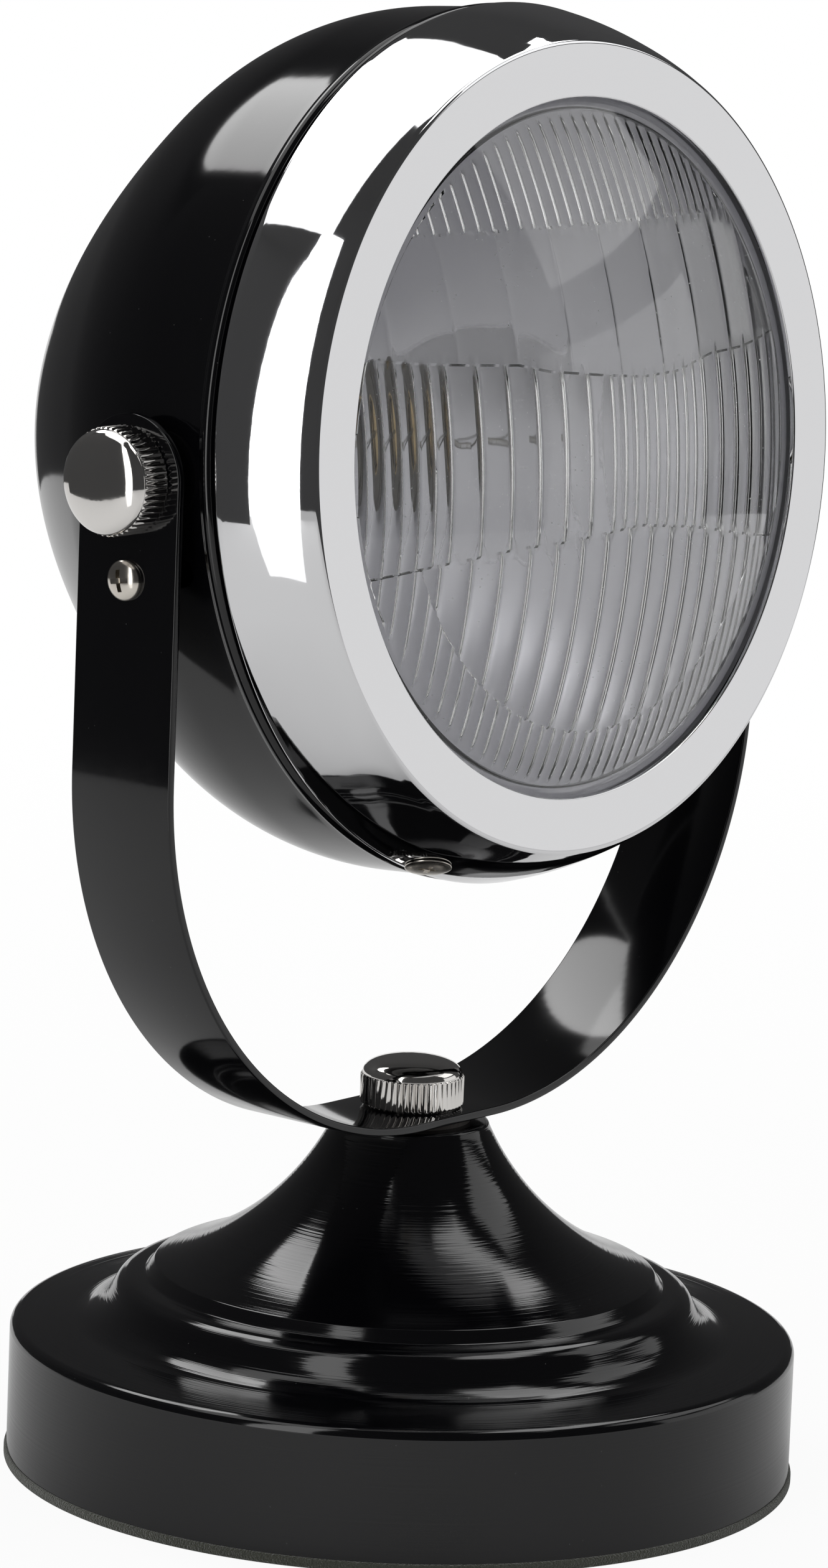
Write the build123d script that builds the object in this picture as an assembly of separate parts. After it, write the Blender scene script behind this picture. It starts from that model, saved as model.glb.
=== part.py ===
from build123d import *
from math import atan, ceil, cos, degrees, floor, radians, sin, sqrt
import os

# Tabletop searchlight lamp: a weighted spun base, a bent strip yoke that swivels on it,
# and a round headlamp that tilts between the yoke arms. Millimetres, +Z up. The origin is
# the centre of the base's underside, the lamp looks along -Y and tilts about the X axis.

# ---- base ----
felt_thickness = 2.0
felt_overhang = 0.5
base_radius = 76.0
base_wall = 1.5
base_height = 27.2              # floor to the outer edge of the top plate
plate_rise = 1.5                # the plate climbs this much towards the shoulder
rim_round = 2.0
shoulder_foot_radius = 58.8
shoulder_foot_round = 1.6
shoulder_top_radius = 54.8
shoulder_rise = 7.6
shoulder_round = 2.3
ledge_inner_radius = 50.2
ledge_rise = 0.5
ledge_round = 0.8
step_top_radius = 48.4
step_rise = 2.4
step_round = 0.6
flare_start_radius = 46.6
flare_start_rise = 0.7
flare_radius = 53.5             # the trumpet is one concave arc
neck_radius = 15.2
neck_height = 68.7
neck_round = 0.8
weight_clearance = 0.4          # casting to shell wall
weight_thickness = 9.0
weight_ring_outer = 70.0
weight_ring_width = 8.0
weight_boss_radius = 13.0
weight_boss_height = 14.0
nut_pocket_radius = 10.0
nut_pocket_depth = 6.5

# ---- threaded parts ----
rod_radius = 3.0                # M6 rod and pivot bolts
hole_clearance = 0.2            # plain clearance holes
running_clearance = 0.06        # a hole that turns on its bolt
hex_across_corners = 11.0
hex_height = 4.5
plain_washer_radius = 7.0
plain_washer_thickness = 1.2
neck_washer_radius = 11.5
neck_washer_thickness = 0.9

# ---- knurled thumb nuts ----
thumb_radius = 10.0
thumb_skirt = 6.3
thumb_height = 9.7
thumb_bore_depth = 7.0
rod_engagement = 6.4            # how far a rod or bolt reaches into its thumb nut
knurl_teeth = 50
knurl_depth = 0.5
knurl_lead = 0.8                # chamfer at both ends of the teeth

# ---- yoke ----
arm_gap = 5.0                   # shell's side to the outer face of an arm
yoke_strip = 24.0
yoke_thickness = 1.6
yoke_flat_half = 11.0           # straight floor of the U, each way from the middle
yoke_edge_round = 0.35
pivot_height = 200.4

# ---- tilt stop ----
rest_tilt = 4.2                 # the lamp stands looking up a little, degrees
tilt_limit = 21.0               # both ways from level, degrees
stop_radius = 18.4              # pivot to stop screw
stop_screw_radius = 2.0
stop_slot_width = 5.0
stop_slot_angle = 20.0          # slot end centres, both ways from level
stop_head_radius = 3.8
stop_head_height = 2.3
stop_nut_corners = 7.6
stop_nut_height = 2.4
stop_reach = 2.0                # screw end inside the shell wall

# ---- head shell, in head coordinates: radius from the lamp axis, distance ahead of the pivot ----
shell_wall = 1.0
shell_radius = 82.0
shell_depth = 83.0              # pivot to the parabola's vertex
bowl_blend_width = 8.0          # the parabola turns into the straight rim this far inside it
bowl_blend_ahead = -27.3
rear_flat_radius = 10.0
shell_front = 15.2
shell_lip_front = 23.5
shell_lip_step = 1.2
bead_ahead = 13.9
bead_radius = 1.5
bead_proud = 0.7

# ---- bezel ----
bezel_wall = 1.0
bezel_overhang = 0.8            # rear edge of the bezel outside the shell
bezel_rear = 17.1
bezel_front = 35.2
bezel_draft = 7.1               # the side narrows this much towards the face
bezel_bulge = 0.5               # crown of the tapered side
bezel_corner = 0.9
bezel_face_width = 10.3
bezel_return = 1.3
bezel_hem = 0.6                 # radius of the rolled rear edge
bezel_screw_turn = -21.5        # degrees round the rim from the bottom
bezel_screw_ahead = 21.0
bezel_screw_head = 4.4
bezel_screw_head_height = 1.9
bezel_screw_radius = 1.7
bezel_screw_length = 8.0
clip_nut_width = 11.0
clip_nut_thickness = 2.4

# ---- lens, gasket, reflector, clips ----
seat_gap = 0.05
lens_radius_of_curvature = 140.0
lens_thickness = 3.2
lens_edge_recess = 2.0          # face of the bezel to the glass at the opening
lens_rim_lap = 4.6              # glass behind the bezel's face
lens_rim_thickness = 4.0
flute_pitch = 3.15
flute_width = 1.7
flute_height = 0.8
flute_margin = 0.8              # plain glass round the flutes
fine_ring_width = 9.5           # the lower band ends in fine flutes
top_band_height = 41.8          # fine flutes above, clear glass below
centre_band_top = (20.8, 13.6, 18.0)        # curved edge: heights at the left, middle and right
centre_band_bottom = (-19.8, -13.8, -21.4)
band_gap = 0.8
coarse_left = -44.0             # the centre band is coarse between these two
coarse_right = -8.0
window_margin = 3.1             # bezel opening to the clear inside of the rim flange
gasket_wall = 0.9
reflector_wall = 0.8
reflector_depth = 57.73         # mouth to the parabola's vertex
reflector_flange_width = 3.5
throat_radius = 14.5
holder_hole_radius = 12.7
clip_width = 8.0
clip_thickness = 0.5
clip_count = 4
clip_length = 3.4

# ---- lampholder and bulb ----
holder_radius = 12.5
holder_length = 29.0
holder_ahead_of_throat = 5.0
holder_flange_radius = 16.0
holder_flange_thickness = 1.6
ring_nut_height = 4.0
cap_radius = 6.9
cap_length = 19.0
screw_shell_wall = 0.4
screw_shell_clearance = 0.25
holder_floor = 6.0
contact_thickness = 0.6
contact_width = 4.0
contact_length = 11.0
terminal_radius = 1.8
terminal_length = 3.0
bulb_radius = 22.5
bulb_length = 57.0              # glass only
bulb_neck_radius = 6.6
bulb_throat_radius = 18.0
bulb_glass = 0.8
cap_overlap = 1.0               # glass neck inside the cap

# ---- pivots ----
friction_washer_radius = 9.0
friction_washer_thickness = 0.8
spacer_radius = 8.0
backing_radius = 9.0
backing_thickness = 1.6
pivot_head_radius = 5.5
pivot_head_height = 3.2

# ---- cord grommet ----
grommet_hole_radius = 5.5
grommet_bore_radius = 3.1
grommet_flange_radius = 8.2
grommet_flange_thickness = 1.7
grommet_clearance = 0.1

# ---- sizes that follow from those above ----
plate_top = base_height + plate_rise
ledge_height = plate_top + shoulder_rise
step_height = ledge_height + ledge_rise + step_rise
yoke_underside = neck_height + neck_washer_thickness
yoke_floor = yoke_underside + yoke_thickness
yoke_half_width = shell_radius + arm_gap
yoke_bend_radius = yoke_half_width - yoke_flat_half
arm_inner = yoke_half_width - yoke_thickness
bowl_blend_radius = shell_radius - bowl_blend_width
bowl_parameter = bowl_blend_radius ** 2 / (bowl_blend_ahead + shell_depth)
rear_flat_ahead = rear_flat_radius ** 2 / bowl_parameter - shell_depth
bezel_rear_radius = shell_radius + bezel_overhang
bezel_face_radius = bezel_rear_radius - bezel_draft
bezel_opening = bezel_face_radius - bezel_face_width
bezel_taper = bezel_draft / (bezel_front - bezel_rear)
lens_rim_radius = bezel_opening + lens_rim_lap
window_radius = bezel_opening - window_margin
flute_field_radius = window_radius - flute_margin
fine_field_radius = flute_field_radius - fine_ring_width
lens_centre = bezel_front - lens_edge_recess - sqrt(lens_radius_of_curvature ** 2 - bezel_opening ** 2)
gasket_front = bezel_front - bezel_wall - seat_gap
rim_front = gasket_front - gasket_wall
rim_rear = rim_front - lens_rim_thickness
reflector_front = rim_rear - seat_gap
reflector_mouth_radius = lens_rim_radius - reflector_flange_width
reflector_parameter = reflector_mouth_radius ** 2 / reflector_depth
reflector_vertex = reflector_front - reflector_depth
throat_ahead = reflector_vertex + throat_radius ** 2 / reflector_parameter

parabola_arcs = 8               # pressed bowls are drawn as this many arcs

# the head is modelled looking along +Z with +Y up, then set on the pivot at its rest tilt
head_place = Pos(0, 0, pivot_height) * Rot(90 - rest_tilt, 0, 0)


def turned(section):
    """Solid of revolution about Z from a section drawn as (radius, height)."""
    return revolve(Plane.XZ * section, Axis.Z)


def joined(curves):
    return Wire([edge for curve in curves for edge in curve.edges()])


def outline(*curves):
    return make_face(joined(curves))


def polygon(*points):
    return make_face(Polyline(*points, close=True))


def redrawn(edge):
    """The same line or arc drawn afresh, which later cuts handle better than an offset edge."""
    if edge.geom_type == GeomType.LINE:
        return Line(edge @ 0, edge @ 1)
    return ThreePointArc(edge @ 0, edge @ 0.5, edge @ 1)


def sheet(curves, wall, side):
    """Section of spun or pressed sheet: one surface is given, the wall goes to one side."""
    loop = joined(curves).offset_2d(wall, side=side)
    return outline(*[redrawn(edge) for edge in loop.edges()])


def parabola(parameter, vertex, first_radius, last_radius):
    """Chain of tangent arcs along radius squared = parameter x height above the vertex."""
    step = (last_radius - first_radius) / parabola_arcs
    heading = Vector(parameter, 2 * first_radius)
    spot = (first_radius, vertex + first_radius ** 2 / parameter)
    arcs = []
    for count in range(1, parabola_arcs + 1):
        radius = first_radius + count * step
        arcs.append(TangentArc(spot, (radius, vertex + radius ** 2 / parameter), tangent=heading))
        spot = arcs[-1] @ 1
        heading = arcs[-1] % 1
    return arcs


def disc(radius, thickness, bottom=0.0, hole=0.0):
    body = Pos(0, 0, bottom) * extrude(Circle(radius), thickness)
    if hole:
        body -= Pos(0, 0, bottom) * extrude(Circle(hole), thickness)
    return body


def hex_nut(corners, height, hole):
    """Hexagon nut with chamfered corners, lower face at Z=0."""
    radius = corners / 2
    chamfer_height = 0.12 * corners / 2
    blank = extrude(RegularPolygon(radius, 6), height)
    cone = turned(polygon((0, 0), (radius - chamfer_height, 0), (radius, chamfer_height),
                          (radius, height - chamfer_height), (radius - chamfer_height, height), (0, height)))
    return (blank & cone) - extrude(Circle(hole), height)


def cross_screw(head_radius, head_height, shank_radius, length):
    """Oval-head screw with a cross recess, head above Z=0 and shank below."""
    dome = outline(Line((0, 0), (head_radius, 0)),
                   EllipticalCenterArc((0, 0), head_radius, head_height, arc_size=90),
                   Line((0, head_height), (0, 0)))
    screw = turned(dome) + disc(shank_radius, length, -length)
    bar_length = 1.15 * head_radius
    bar_width = 0.26 * head_radius
    depth = 0.6 * head_height
    for angle in (0, 90):
        bar = extrude(Rectangle(bar_length, bar_width), depth)
        screw -= Pos(0, 0, head_height - depth) * Rot(0, 0, angle) * bar
    return screw


# ---------------- base ----------------

def base_outline():
    """Outer surface of the spun base, from the foot of the wall to the rod hole in the neck."""
    steps = FilletPolyline(
        (base_radius, felt_thickness), (base_radius, base_height),
        (shoulder_foot_radius, plate_top), (shoulder_top_radius, ledge_height),
        (ledge_inner_radius, ledge_height + ledge_rise), (step_top_radius, step_height),
        (flare_start_radius, step_height + flare_start_rise),
        radius=(rim_round, shoulder_foot_round, shoulder_round, ledge_round, step_round))
    flare_end = (neck_radius, neck_height - neck_round)
    flare = RadiusArc(steps @ 1, flare_end, flare_radius)
    crown = RadiusArc(flare_end, (neck_radius - neck_round, neck_height), -neck_round)
    top = Line(crown @ 1, (rod_radius + hole_clearance, neck_height))
    return [steps, flare, crown, top]


def make_base_shell():
    return turned(sheet(base_outline(), base_wall, Side.LEFT))


def plate_underside(radius):
    """Height of the inner face of the top plate at a radius."""
    share = (base_radius - radius) / (base_radius - shoulder_foot_radius)
    return base_height + plate_rise * share - base_wall - 2 * seat_gap


def make_base_weight():
    """Cast ballast: a disc on the felt with a ring that bears up against the plate."""
    bottom = felt_thickness
    top = bottom + weight_thickness
    outer = base_radius - base_wall - weight_clearance
    ring_inner = weight_ring_outer - weight_ring_width
    bore = rod_radius + hole_clearance
    section = polygon(
        (bore, bottom + nut_pocket_depth), (nut_pocket_radius, bottom + nut_pocket_depth),
        (nut_pocket_radius, bottom), (outer, bottom), (outer, top),
        (weight_ring_outer, top + (outer - weight_ring_outer)),
        (weight_ring_outer, plate_underside(weight_ring_outer)),
        (ring_inner, plate_underside(ring_inner)), (ring_inner, top),
        (weight_boss_radius, top), (weight_boss_radius, bottom + weight_boss_height),
        (bore, bottom + weight_boss_height))
    return turned(section)


def make_felt():
    return disc(base_radius + felt_overhang, felt_thickness)


pocket_roof = felt_thickness + nut_pocket_depth


def make_rod_washer():
    return disc(plain_washer_radius, plain_washer_thickness, pocket_roof - plain_washer_thickness,
                rod_radius + hole_clearance)


def make_rod_nut():
    top = pocket_roof - plain_washer_thickness
    return Pos(0, 0, top - hex_height) * hex_nut(hex_across_corners, hex_height, rod_radius)


def make_tie_rod():
    """Rod from the nut under the ballast, up through neck and yoke, into the thumb nut."""
    bottom = pocket_roof - plain_washer_thickness - hex_height
    return disc(rod_radius, yoke_floor + rod_engagement - bottom, bottom)


def make_neck_washer():
    return disc(neck_washer_radius, neck_washer_thickness, neck_height, rod_radius + hole_clearance)


# ---------------- yoke ----------------

def make_yoke():
    """Flat strip bent to a U, arm ends rounded about the pivot."""
    bend_start = yoke_underside + yoke_bend_radius
    flat = yoke_half_width - yoke_bend_radius
    top = pivot_height + yoke_strip
    left = Line((-yoke_half_width, top), (-yoke_half_width, bend_start))
    left_bend = RadiusArc(left @ 1, (-flat, yoke_underside), -yoke_bend_radius)
    floor = Line(left_bend @ 1, (flat, yoke_underside))
    right_bend = RadiusArc(floor @ 1, (yoke_half_width, bend_start), -yoke_bend_radius)
    right = Line(right_bend @ 1, (yoke_half_width, top))
    section = sheet([left, left_bend, floor, right_bend, right], yoke_thickness, Side.LEFT)
    strip = extrude(Plane.XZ * section, yoke_strip / 2, both=True)
    arm_end = Pos(0, pivot_height) * Circle(yoke_strip / 2)
    below = Pos(0, pivot_height / 2) * Rectangle(yoke_strip, pivot_height)
    side_view = extrude(Plane.YZ * (arm_end + below), yoke_half_width, both=True)
    yoke = strip & side_view
    long_edges = [e for e in yoke.edges() if abs(abs(e.center().Y) - yoke_strip / 2) < 1e-6]
    yoke = fillet(long_edges, yoke_edge_round)
    turning = rod_radius + running_clearance
    yoke -= disc(turning, yoke_thickness, yoke_underside)
    pivot_drill = extrude(Circle(turning), yoke_half_width, both=True)
    yoke -= Pos(0, 0, pivot_height) * Rot(0, 90, 0) * pivot_drill
    stop_drill = extrude(Circle(stop_screw_radius + hole_clearance / 2), yoke_half_width)
    yoke -= Pos(0, 0, pivot_height - stop_radius) * Rot(0, -90, 0) * stop_drill
    return yoke


def stop_station(x):
    """Frame on the stop screw's axis at a distance x from the middle, pointing out of the left arm."""
    return Pos(-x, 0, pivot_height - stop_radius) * Rot(0, -90, 0)


def make_stop_screw():
    shell_face = sqrt((shell_radius - shell_wall) ** 2 - stop_radius ** 2)
    length = yoke_half_width - shell_face + stop_reach
    screw = cross_screw(stop_head_radius, stop_head_height, stop_screw_radius, length)
    return stop_station(yoke_half_width) * screw


def make_stop_nut():
    nut = hex_nut(stop_nut_corners, stop_nut_height, stop_screw_radius)
    return stop_station(arm_inner - stop_nut_height) * nut


# ---------------- thumb nuts ----------------

def make_thumb_nut():
    """Knurled skirt with a smooth domed top, blind bore from below."""
    step = 360 / knurl_teeth
    root_radius = thumb_radius - knurl_depth
    points = []
    for tooth in range(knurl_teeth):
        tip = radians(tooth * step)
        root = radians((tooth + 0.5) * step)
        points.append((thumb_radius * cos(tip), thumb_radius * sin(tip)))
        points.append((root_radius * cos(root), root_radius * sin(root)))
    teeth = extrude(polygon(*points), thumb_skirt)
    lead_radius = thumb_radius - knurl_lead
    blank = turned(polygon((0, 0), (lead_radius, 0), (thumb_radius, knurl_lead),
                           (thumb_radius, thumb_skirt - knurl_lead), (lead_radius, thumb_skirt),
                           (0, thumb_skirt)))
    dome_rise = thumb_height - thumb_skirt
    dome = turned(outline(Line((0, thumb_skirt), (lead_radius, thumb_skirt)),
                          EllipticalCenterArc((0, thumb_skirt), lead_radius, dome_rise, arc_size=90),
                          Line((0, thumb_height), (0, thumb_skirt))))
    return (teeth & blank) + dome - disc(rod_radius + running_clearance, thumb_bore_depth)


# ---------------- head: shell ----------------

def shell_outline(opening):
    """Outer surface of the shell: flat rear, parabola, blend, straight rim, stepped lip."""
    rear = Line((opening, rear_flat_ahead), (rear_flat_radius, rear_flat_ahead))
    bowl = parabola(bowl_parameter, -shell_depth, rear_flat_radius, bowl_blend_radius)
    heading = bowl[-1] % 1
    blend_curve = (shell_radius - bowl_blend_radius) / (1 - heading.Y)
    blend_end = (shell_radius, bowl_blend_ahead + blend_curve * heading.X)
    blend = TangentArc(bowl[-1] @ 1, blend_end, tangent=heading)
    lip = Polyline(blend_end, (shell_radius, shell_front), (shell_lip_radius, shell_front + shell_lip_step),
                   (shell_lip_radius, shell_lip_front))
    return [rear, *bowl, blend, lip]


def bezel_outer(ahead):
    """Outer radius of the bezel's tapered side, without its crown."""
    return bezel_rear_radius - bezel_taper * (ahead - bezel_rear)


def bezel_crown(ahead):
    """How far the side bulges past a straight taper."""
    middle = (bezel_rear + bezel_front) / 2
    return bezel_bulge * (1 - ((ahead - middle) / (bezel_front - middle)) ** 2)


shell_lip_radius = bezel_outer(shell_lip_front) - bezel_wall - 2 * seat_gap


def bezel_lean():
    """Angle of the bezel's side from the lamp axis at the screw."""
    middle = (bezel_rear + bezel_front) / 2
    crown_slope = 2 * bezel_bulge * (middle - bezel_screw_ahead) / (bezel_front - middle) ** 2
    return atan(bezel_taper - crown_slope)


def bezel_screw_place():
    """Frame on the bezel's side, Z along the outward normal."""
    turn = radians(bezel_screw_turn)
    radius = bezel_outer(bezel_screw_ahead) + bezel_crown(bezel_screw_ahead) + seat_gap
    lean = degrees(bezel_lean())
    spot = Pos(radius * sin(turn), -radius * cos(turn), bezel_screw_ahead)
    return spot * Rot(0, 0, bezel_screw_turn) * Rot(90 - lean, 0, 0)


def bezel_screw_drill():
    """Clearance hole of the bezel screw, through bezel and shell lip."""
    hole = disc(bezel_screw_radius + hole_clearance, bezel_screw_length * 1.5, -bezel_screw_length)
    return bezel_screw_place() * hole


def make_head_shell():
    wall = turned(sheet(shell_outline(grommet_hole_radius), shell_wall, Side.LEFT))
    bead_centre = shell_radius + bead_proud - bead_radius
    bead = turned(Pos(bead_centre, bead_ahead) * Circle(bead_radius))
    shell = wall + bead
    drill = extrude(Circle(rod_radius + hole_clearance), shell_radius + bead_proud, both=True)
    shell -= Rot(0, 90, 0) * drill
    arc = CenterArc((0, 0), stop_radius, -90 - stop_slot_angle, 2 * stop_slot_angle)
    slot = extrude(SlotArc(arc, stop_slot_width), shell_radius)
    shell -= Rot(0, -90, 0) * slot
    return shell - bezel_screw_drill()


# ---------------- head: bezel ----------------

def make_bezel():
    """Chrome rim ring: hemmed rear edge, crowned taper, flat face, turned-back inner edge."""
    middle = (bezel_rear + bezel_front) / 2
    corner_ahead = bezel_front - bezel_corner
    side = ThreePointArc((bezel_rear_radius, bezel_rear), (bezel_outer(middle) + bezel_bulge, middle),
                         (bezel_outer(corner_ahead), corner_ahead))
    corner_end = (bezel_face_radius - bezel_corner, bezel_front)
    corner = TangentArc(corner_end, side @ 1, tangent=(1, 0))
    face = Polyline(corner_end, (bezel_opening, bezel_front), (bezel_opening, bezel_front - bezel_return))
    hem = Pos(bezel_rear_radius - bezel_wall / 2, bezel_rear) * Circle(bezel_hem)
    return turned(sheet([side, corner, face], bezel_wall, Side.LEFT) + hem) - bezel_screw_drill()


def make_bezel_screw():
    return bezel_screw_place() * cross_screw(bezel_screw_head, bezel_screw_head_height,
                                             bezel_screw_radius, bezel_screw_length)


def make_clip_nut():
    """Spring nut that hooks over the shell's lip behind the bezel screw."""
    lean = bezel_lean()
    depth = bezel_outer(bezel_screw_ahead) + bezel_bulge - shell_lip_radius + shell_wall
    corner_rise = clip_nut_width / 4 * bezel_taper + clip_nut_width ** 2 / (8 * shell_lip_radius)
    top = -depth / cos(lean) - corner_rise - hole_clearance - clip_nut_thickness
    block = extrude(Rectangle(clip_nut_width, clip_nut_width / 2), clip_nut_thickness)
    block -= extrude(Circle(bezel_screw_radius), clip_nut_thickness)
    return bezel_screw_place() * Pos(0, 0, top) * block


# ---------------- head: lens and what holds it ----------------

def ball(radius):
    return Pos(0, 0, lens_centre) * Sphere(radius)


def upright_ribs(pitch, left, right, low, high):
    """Sketch of straight upright ribs on multiples of the pitch, inside a rectangle."""
    first = ceil(left / pitch)
    last = floor(right / pitch)
    middle = (low + high) / 2
    rib = Rectangle(flute_width, high - low)
    return Sketch() + [Pos(i * pitch, middle) * rib for i in range(first, last + 1)]


def below(edge, drop=0.0):
    """Zone of the lens face under a curved edge, which is given by its three heights."""
    reach = flute_field_radius
    left, middle, right = edge
    arc = ThreePointArc((-reach, left - drop), (0, middle - drop), (reach, right - drop))
    return outline(arc, Polyline(arc @ 1, (reach, -reach), (-reach, -reach), arc @ 0))


def rib_field():
    """Prism pattern seen from the front: fine flutes round a band of coarse ones."""
    wide = flute_field_radius
    coarse = 2 * flute_pitch
    ring = Circle(flute_field_radius) - Circle(fine_field_radius)
    centre_zone = below(centre_band_top) - below(centre_band_bottom)
    lower_zone = below(centre_band_bottom, band_gap)
    top = upright_ribs(flute_pitch, -wide, wide, top_band_height, wide)
    centre = upright_ribs(flute_pitch, -wide, coarse_left, -wide, wide)
    centre += upright_ribs(coarse, coarse_left, coarse_right, -wide, wide)
    centre += upright_ribs(flute_pitch, coarse_right, wide, -wide, wide)
    lower = upright_ribs(coarse, -wide, wide, -wide, wide) & Circle(fine_field_radius)
    lower += upright_ribs(flute_pitch, -wide, wide, -wide, wide) & ring
    return ((top + (centre & centre_zone)) & Circle(wide)) + (lower & lower_zone)


def make_lens():
    """Pressed glass: a spherical front, a flat rim, and prism ribs on the inside."""
    inner = lens_radius_of_curvature - lens_thickness
    rim = disc(lens_rim_radius, lens_rim_thickness, rim_rear)
    column = disc(bezel_opening - seat_gap, lens_radius_of_curvature, rim_rear)
    window = disc(window_radius, lens_radius_of_curvature, rim_rear)
    body = rim + (column & ball(lens_radius_of_curvature)) - (window & ball(inner))
    ribs = Pos(0, 0, rim_rear) * extrude(rib_field(), lens_radius_of_curvature)
    return body + ((ribs & ball(inner + seat_gap)) - ball(inner - flute_height))


def make_gasket():
    """Rubber channel round the lens rim."""
    outer = lens_rim_radius + seat_gap + gasket_wall
    inner = lens_rim_radius + seat_gap
    lap = bezel_opening + bezel_wall + 2 * seat_gap
    return turned(polygon((lap, rim_front + seat_gap), (lap, gasket_front), (outer, gasket_front),
                          (outer, reflector_front), (inner, reflector_front), (inner, rim_front + seat_gap)))


def make_reflector():
    """Pressed parabola with a flat mouth flange and a flat seat for the lampholder."""
    seat = Line((holder_hole_radius, throat_ahead), (throat_radius, throat_ahead))
    bowl = parabola(reflector_parameter, reflector_vertex, throat_radius, reflector_mouth_radius)
    flange = Line(bowl[-1] @ 1, (lens_rim_radius, reflector_front))
    return turned(sheet([seat, *bowl, flange], reflector_wall, Side.RIGHT))


def make_lens_clips():
    """Four spring strips that press the reflector flange and lens into the bezel."""
    rear = reflector_front - reflector_wall - seat_gap
    margin = bezel_wall + clip_thickness + hole_clearance
    reach = bezel_outer(rear) - margin
    tip = bezel_outer(rear + clip_length) - margin
    toe = reflector_mouth_radius + reflector_wall + hole_clearance
    bend = Polyline((toe, rear), (reach, rear), (tip, rear + clip_length))
    section = sheet([bend], clip_thickness, Side.RIGHT)
    clip = extrude(Plane.XZ * section, clip_width / 2, both=True)
    step = 360 / clip_count
    return Compound([Rot(0, 0, (i + 0.5) * step) * clip for i in range(clip_count)])


# ---------------- head: lampholder and bulb ----------------

holder_front = throat_ahead + holder_ahead_of_throat
holder_rear = holder_front - holder_length
screw_shell_outer = cap_radius + screw_shell_clearance + screw_shell_wall
cap_front = holder_front - holder_ahead_of_throat / 2
cap_rear = cap_front - cap_length


def make_lampholder():
    flange_top = throat_ahead - reflector_wall
    body = disc(holder_radius, holder_length, holder_rear)
    body += disc(holder_flange_radius, holder_flange_thickness, flange_top - holder_flange_thickness)
    body -= disc(screw_shell_outer, holder_length, holder_rear + holder_floor)
    for side in (-1, 1):
        body -= Pos(side * cap_radius, 0, 0) * disc(terminal_radius, terminal_length, holder_rear)
    return body


def make_ring_nut():
    return disc(throat_radius - hole_clearance, ring_nut_height, throat_ahead, holder_radius)


def make_screw_shell():
    length = holder_front - holder_rear - holder_floor
    return disc(screw_shell_outer, length, holder_rear + holder_floor, screw_shell_outer - screw_shell_wall)


def make_centre_contact():
    """Sprung brass strip under the bulb's tip."""
    rise = cap_rear - (holder_rear + holder_floor)
    foot = Polyline((-contact_length / 2, 0), (-contact_width / 2, 0), (0, rise - contact_thickness),
                    (contact_length / 3, rise - contact_thickness))
    strip = extrude(Plane.XZ * sheet([foot], contact_thickness, Side.LEFT), contact_width / 2, both=True)
    return Pos(0, 0, holder_rear + holder_floor) * strip


def make_terminal_screws():
    screw = disc(terminal_radius, terminal_length, holder_rear)
    return Compound([Pos(side * cap_radius, 0, 0) * screw for side in (-1, 1)])


def make_bulb_cap():
    """Brass cap with its insulating end drawn in one piece, closed at the tip."""
    tip = cap_radius / 2
    mouth_floor = cap_front - 2 * cap_overlap
    return turned(polygon((0, cap_rear), (tip, cap_rear), (cap_radius, cap_rear + tip), (cap_radius, cap_front),
                          (bulb_neck_radius, cap_front), (bulb_neck_radius, mouth_floor), (0, mouth_floor)))


def make_bulb_glass():
    """Clear golf-ball bulb, open at the neck where the cap closes it."""
    neck_bottom = cap_front - cap_overlap
    centre = neck_bottom + bulb_length - bulb_radius
    neck_wall = bulb_neck_radius - seat_gap
    throat_x = neck_wall + bulb_throat_radius
    reach = bulb_radius + bulb_throat_radius
    drop = sqrt(reach ** 2 - throat_x ** 2)
    share = bulb_radius / reach
    join = (throat_x * share, centre - drop * share)
    neck = Line((neck_wall, neck_bottom), (neck_wall, centre - drop))
    throat = RadiusArc(neck @ 1, join, bulb_throat_radius)
    globe = ThreePointArc(join, (bulb_radius, centre), (0, centre + bulb_radius))
    return turned(sheet([neck, throat, globe], bulb_glass, Side.LEFT))


# ---------------- head: pivots and grommet ----------------

def filled_shell():
    """Everything inside the shell's outer surface, with its wall."""
    closing = Polyline((shell_lip_radius, shell_lip_front), (0, shell_lip_front), (0, rear_flat_ahead))
    return turned(outline(*shell_outline(0), closing))


def outer_form():
    """Filled shell with a seating gap added outside."""
    return filled_shell() + turned(sheet(shell_outline(0), seat_gap, Side.RIGHT))


def inner_form():
    """The shell's hollow, with a seating gap taken off."""
    return filled_shell() - turned(sheet(shell_outline(0), shell_wall + seat_gap, Side.LEFT))


def side_cylinder(radius, inner, outer, hole):
    """Cylinder along +X between two distances from the lamp axis."""
    return Rot(0, 90, 0) * disc(radius, outer - inner, inner, hole)


inner_face = shell_radius - shell_wall
saddle_depth = shell_radius - sqrt(shell_radius ** 2 - spacer_radius ** 2)
bolt_seat = sqrt(inner_face ** 2 - backing_radius ** 2) - backing_thickness


def make_spacer():
    """Round boss shaped to the shell, from the wall out to the friction washer."""
    outer = arm_inner - friction_washer_thickness
    boss = side_cylinder(spacer_radius, shell_radius - 4 * saddle_depth, outer, rod_radius + hole_clearance)
    return boss - outer_form()


def make_friction_washer():
    return side_cylinder(friction_washer_radius, arm_inner - friction_washer_thickness, arm_inner,
                         rod_radius + running_clearance)


def make_backing_washer():
    """Plate inside the shell under the bolt head, its outer face shaped to the wall."""
    blank = side_cylinder(backing_radius, bolt_seat, inner_face, rod_radius + hole_clearance)
    return blank & inner_form()


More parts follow.
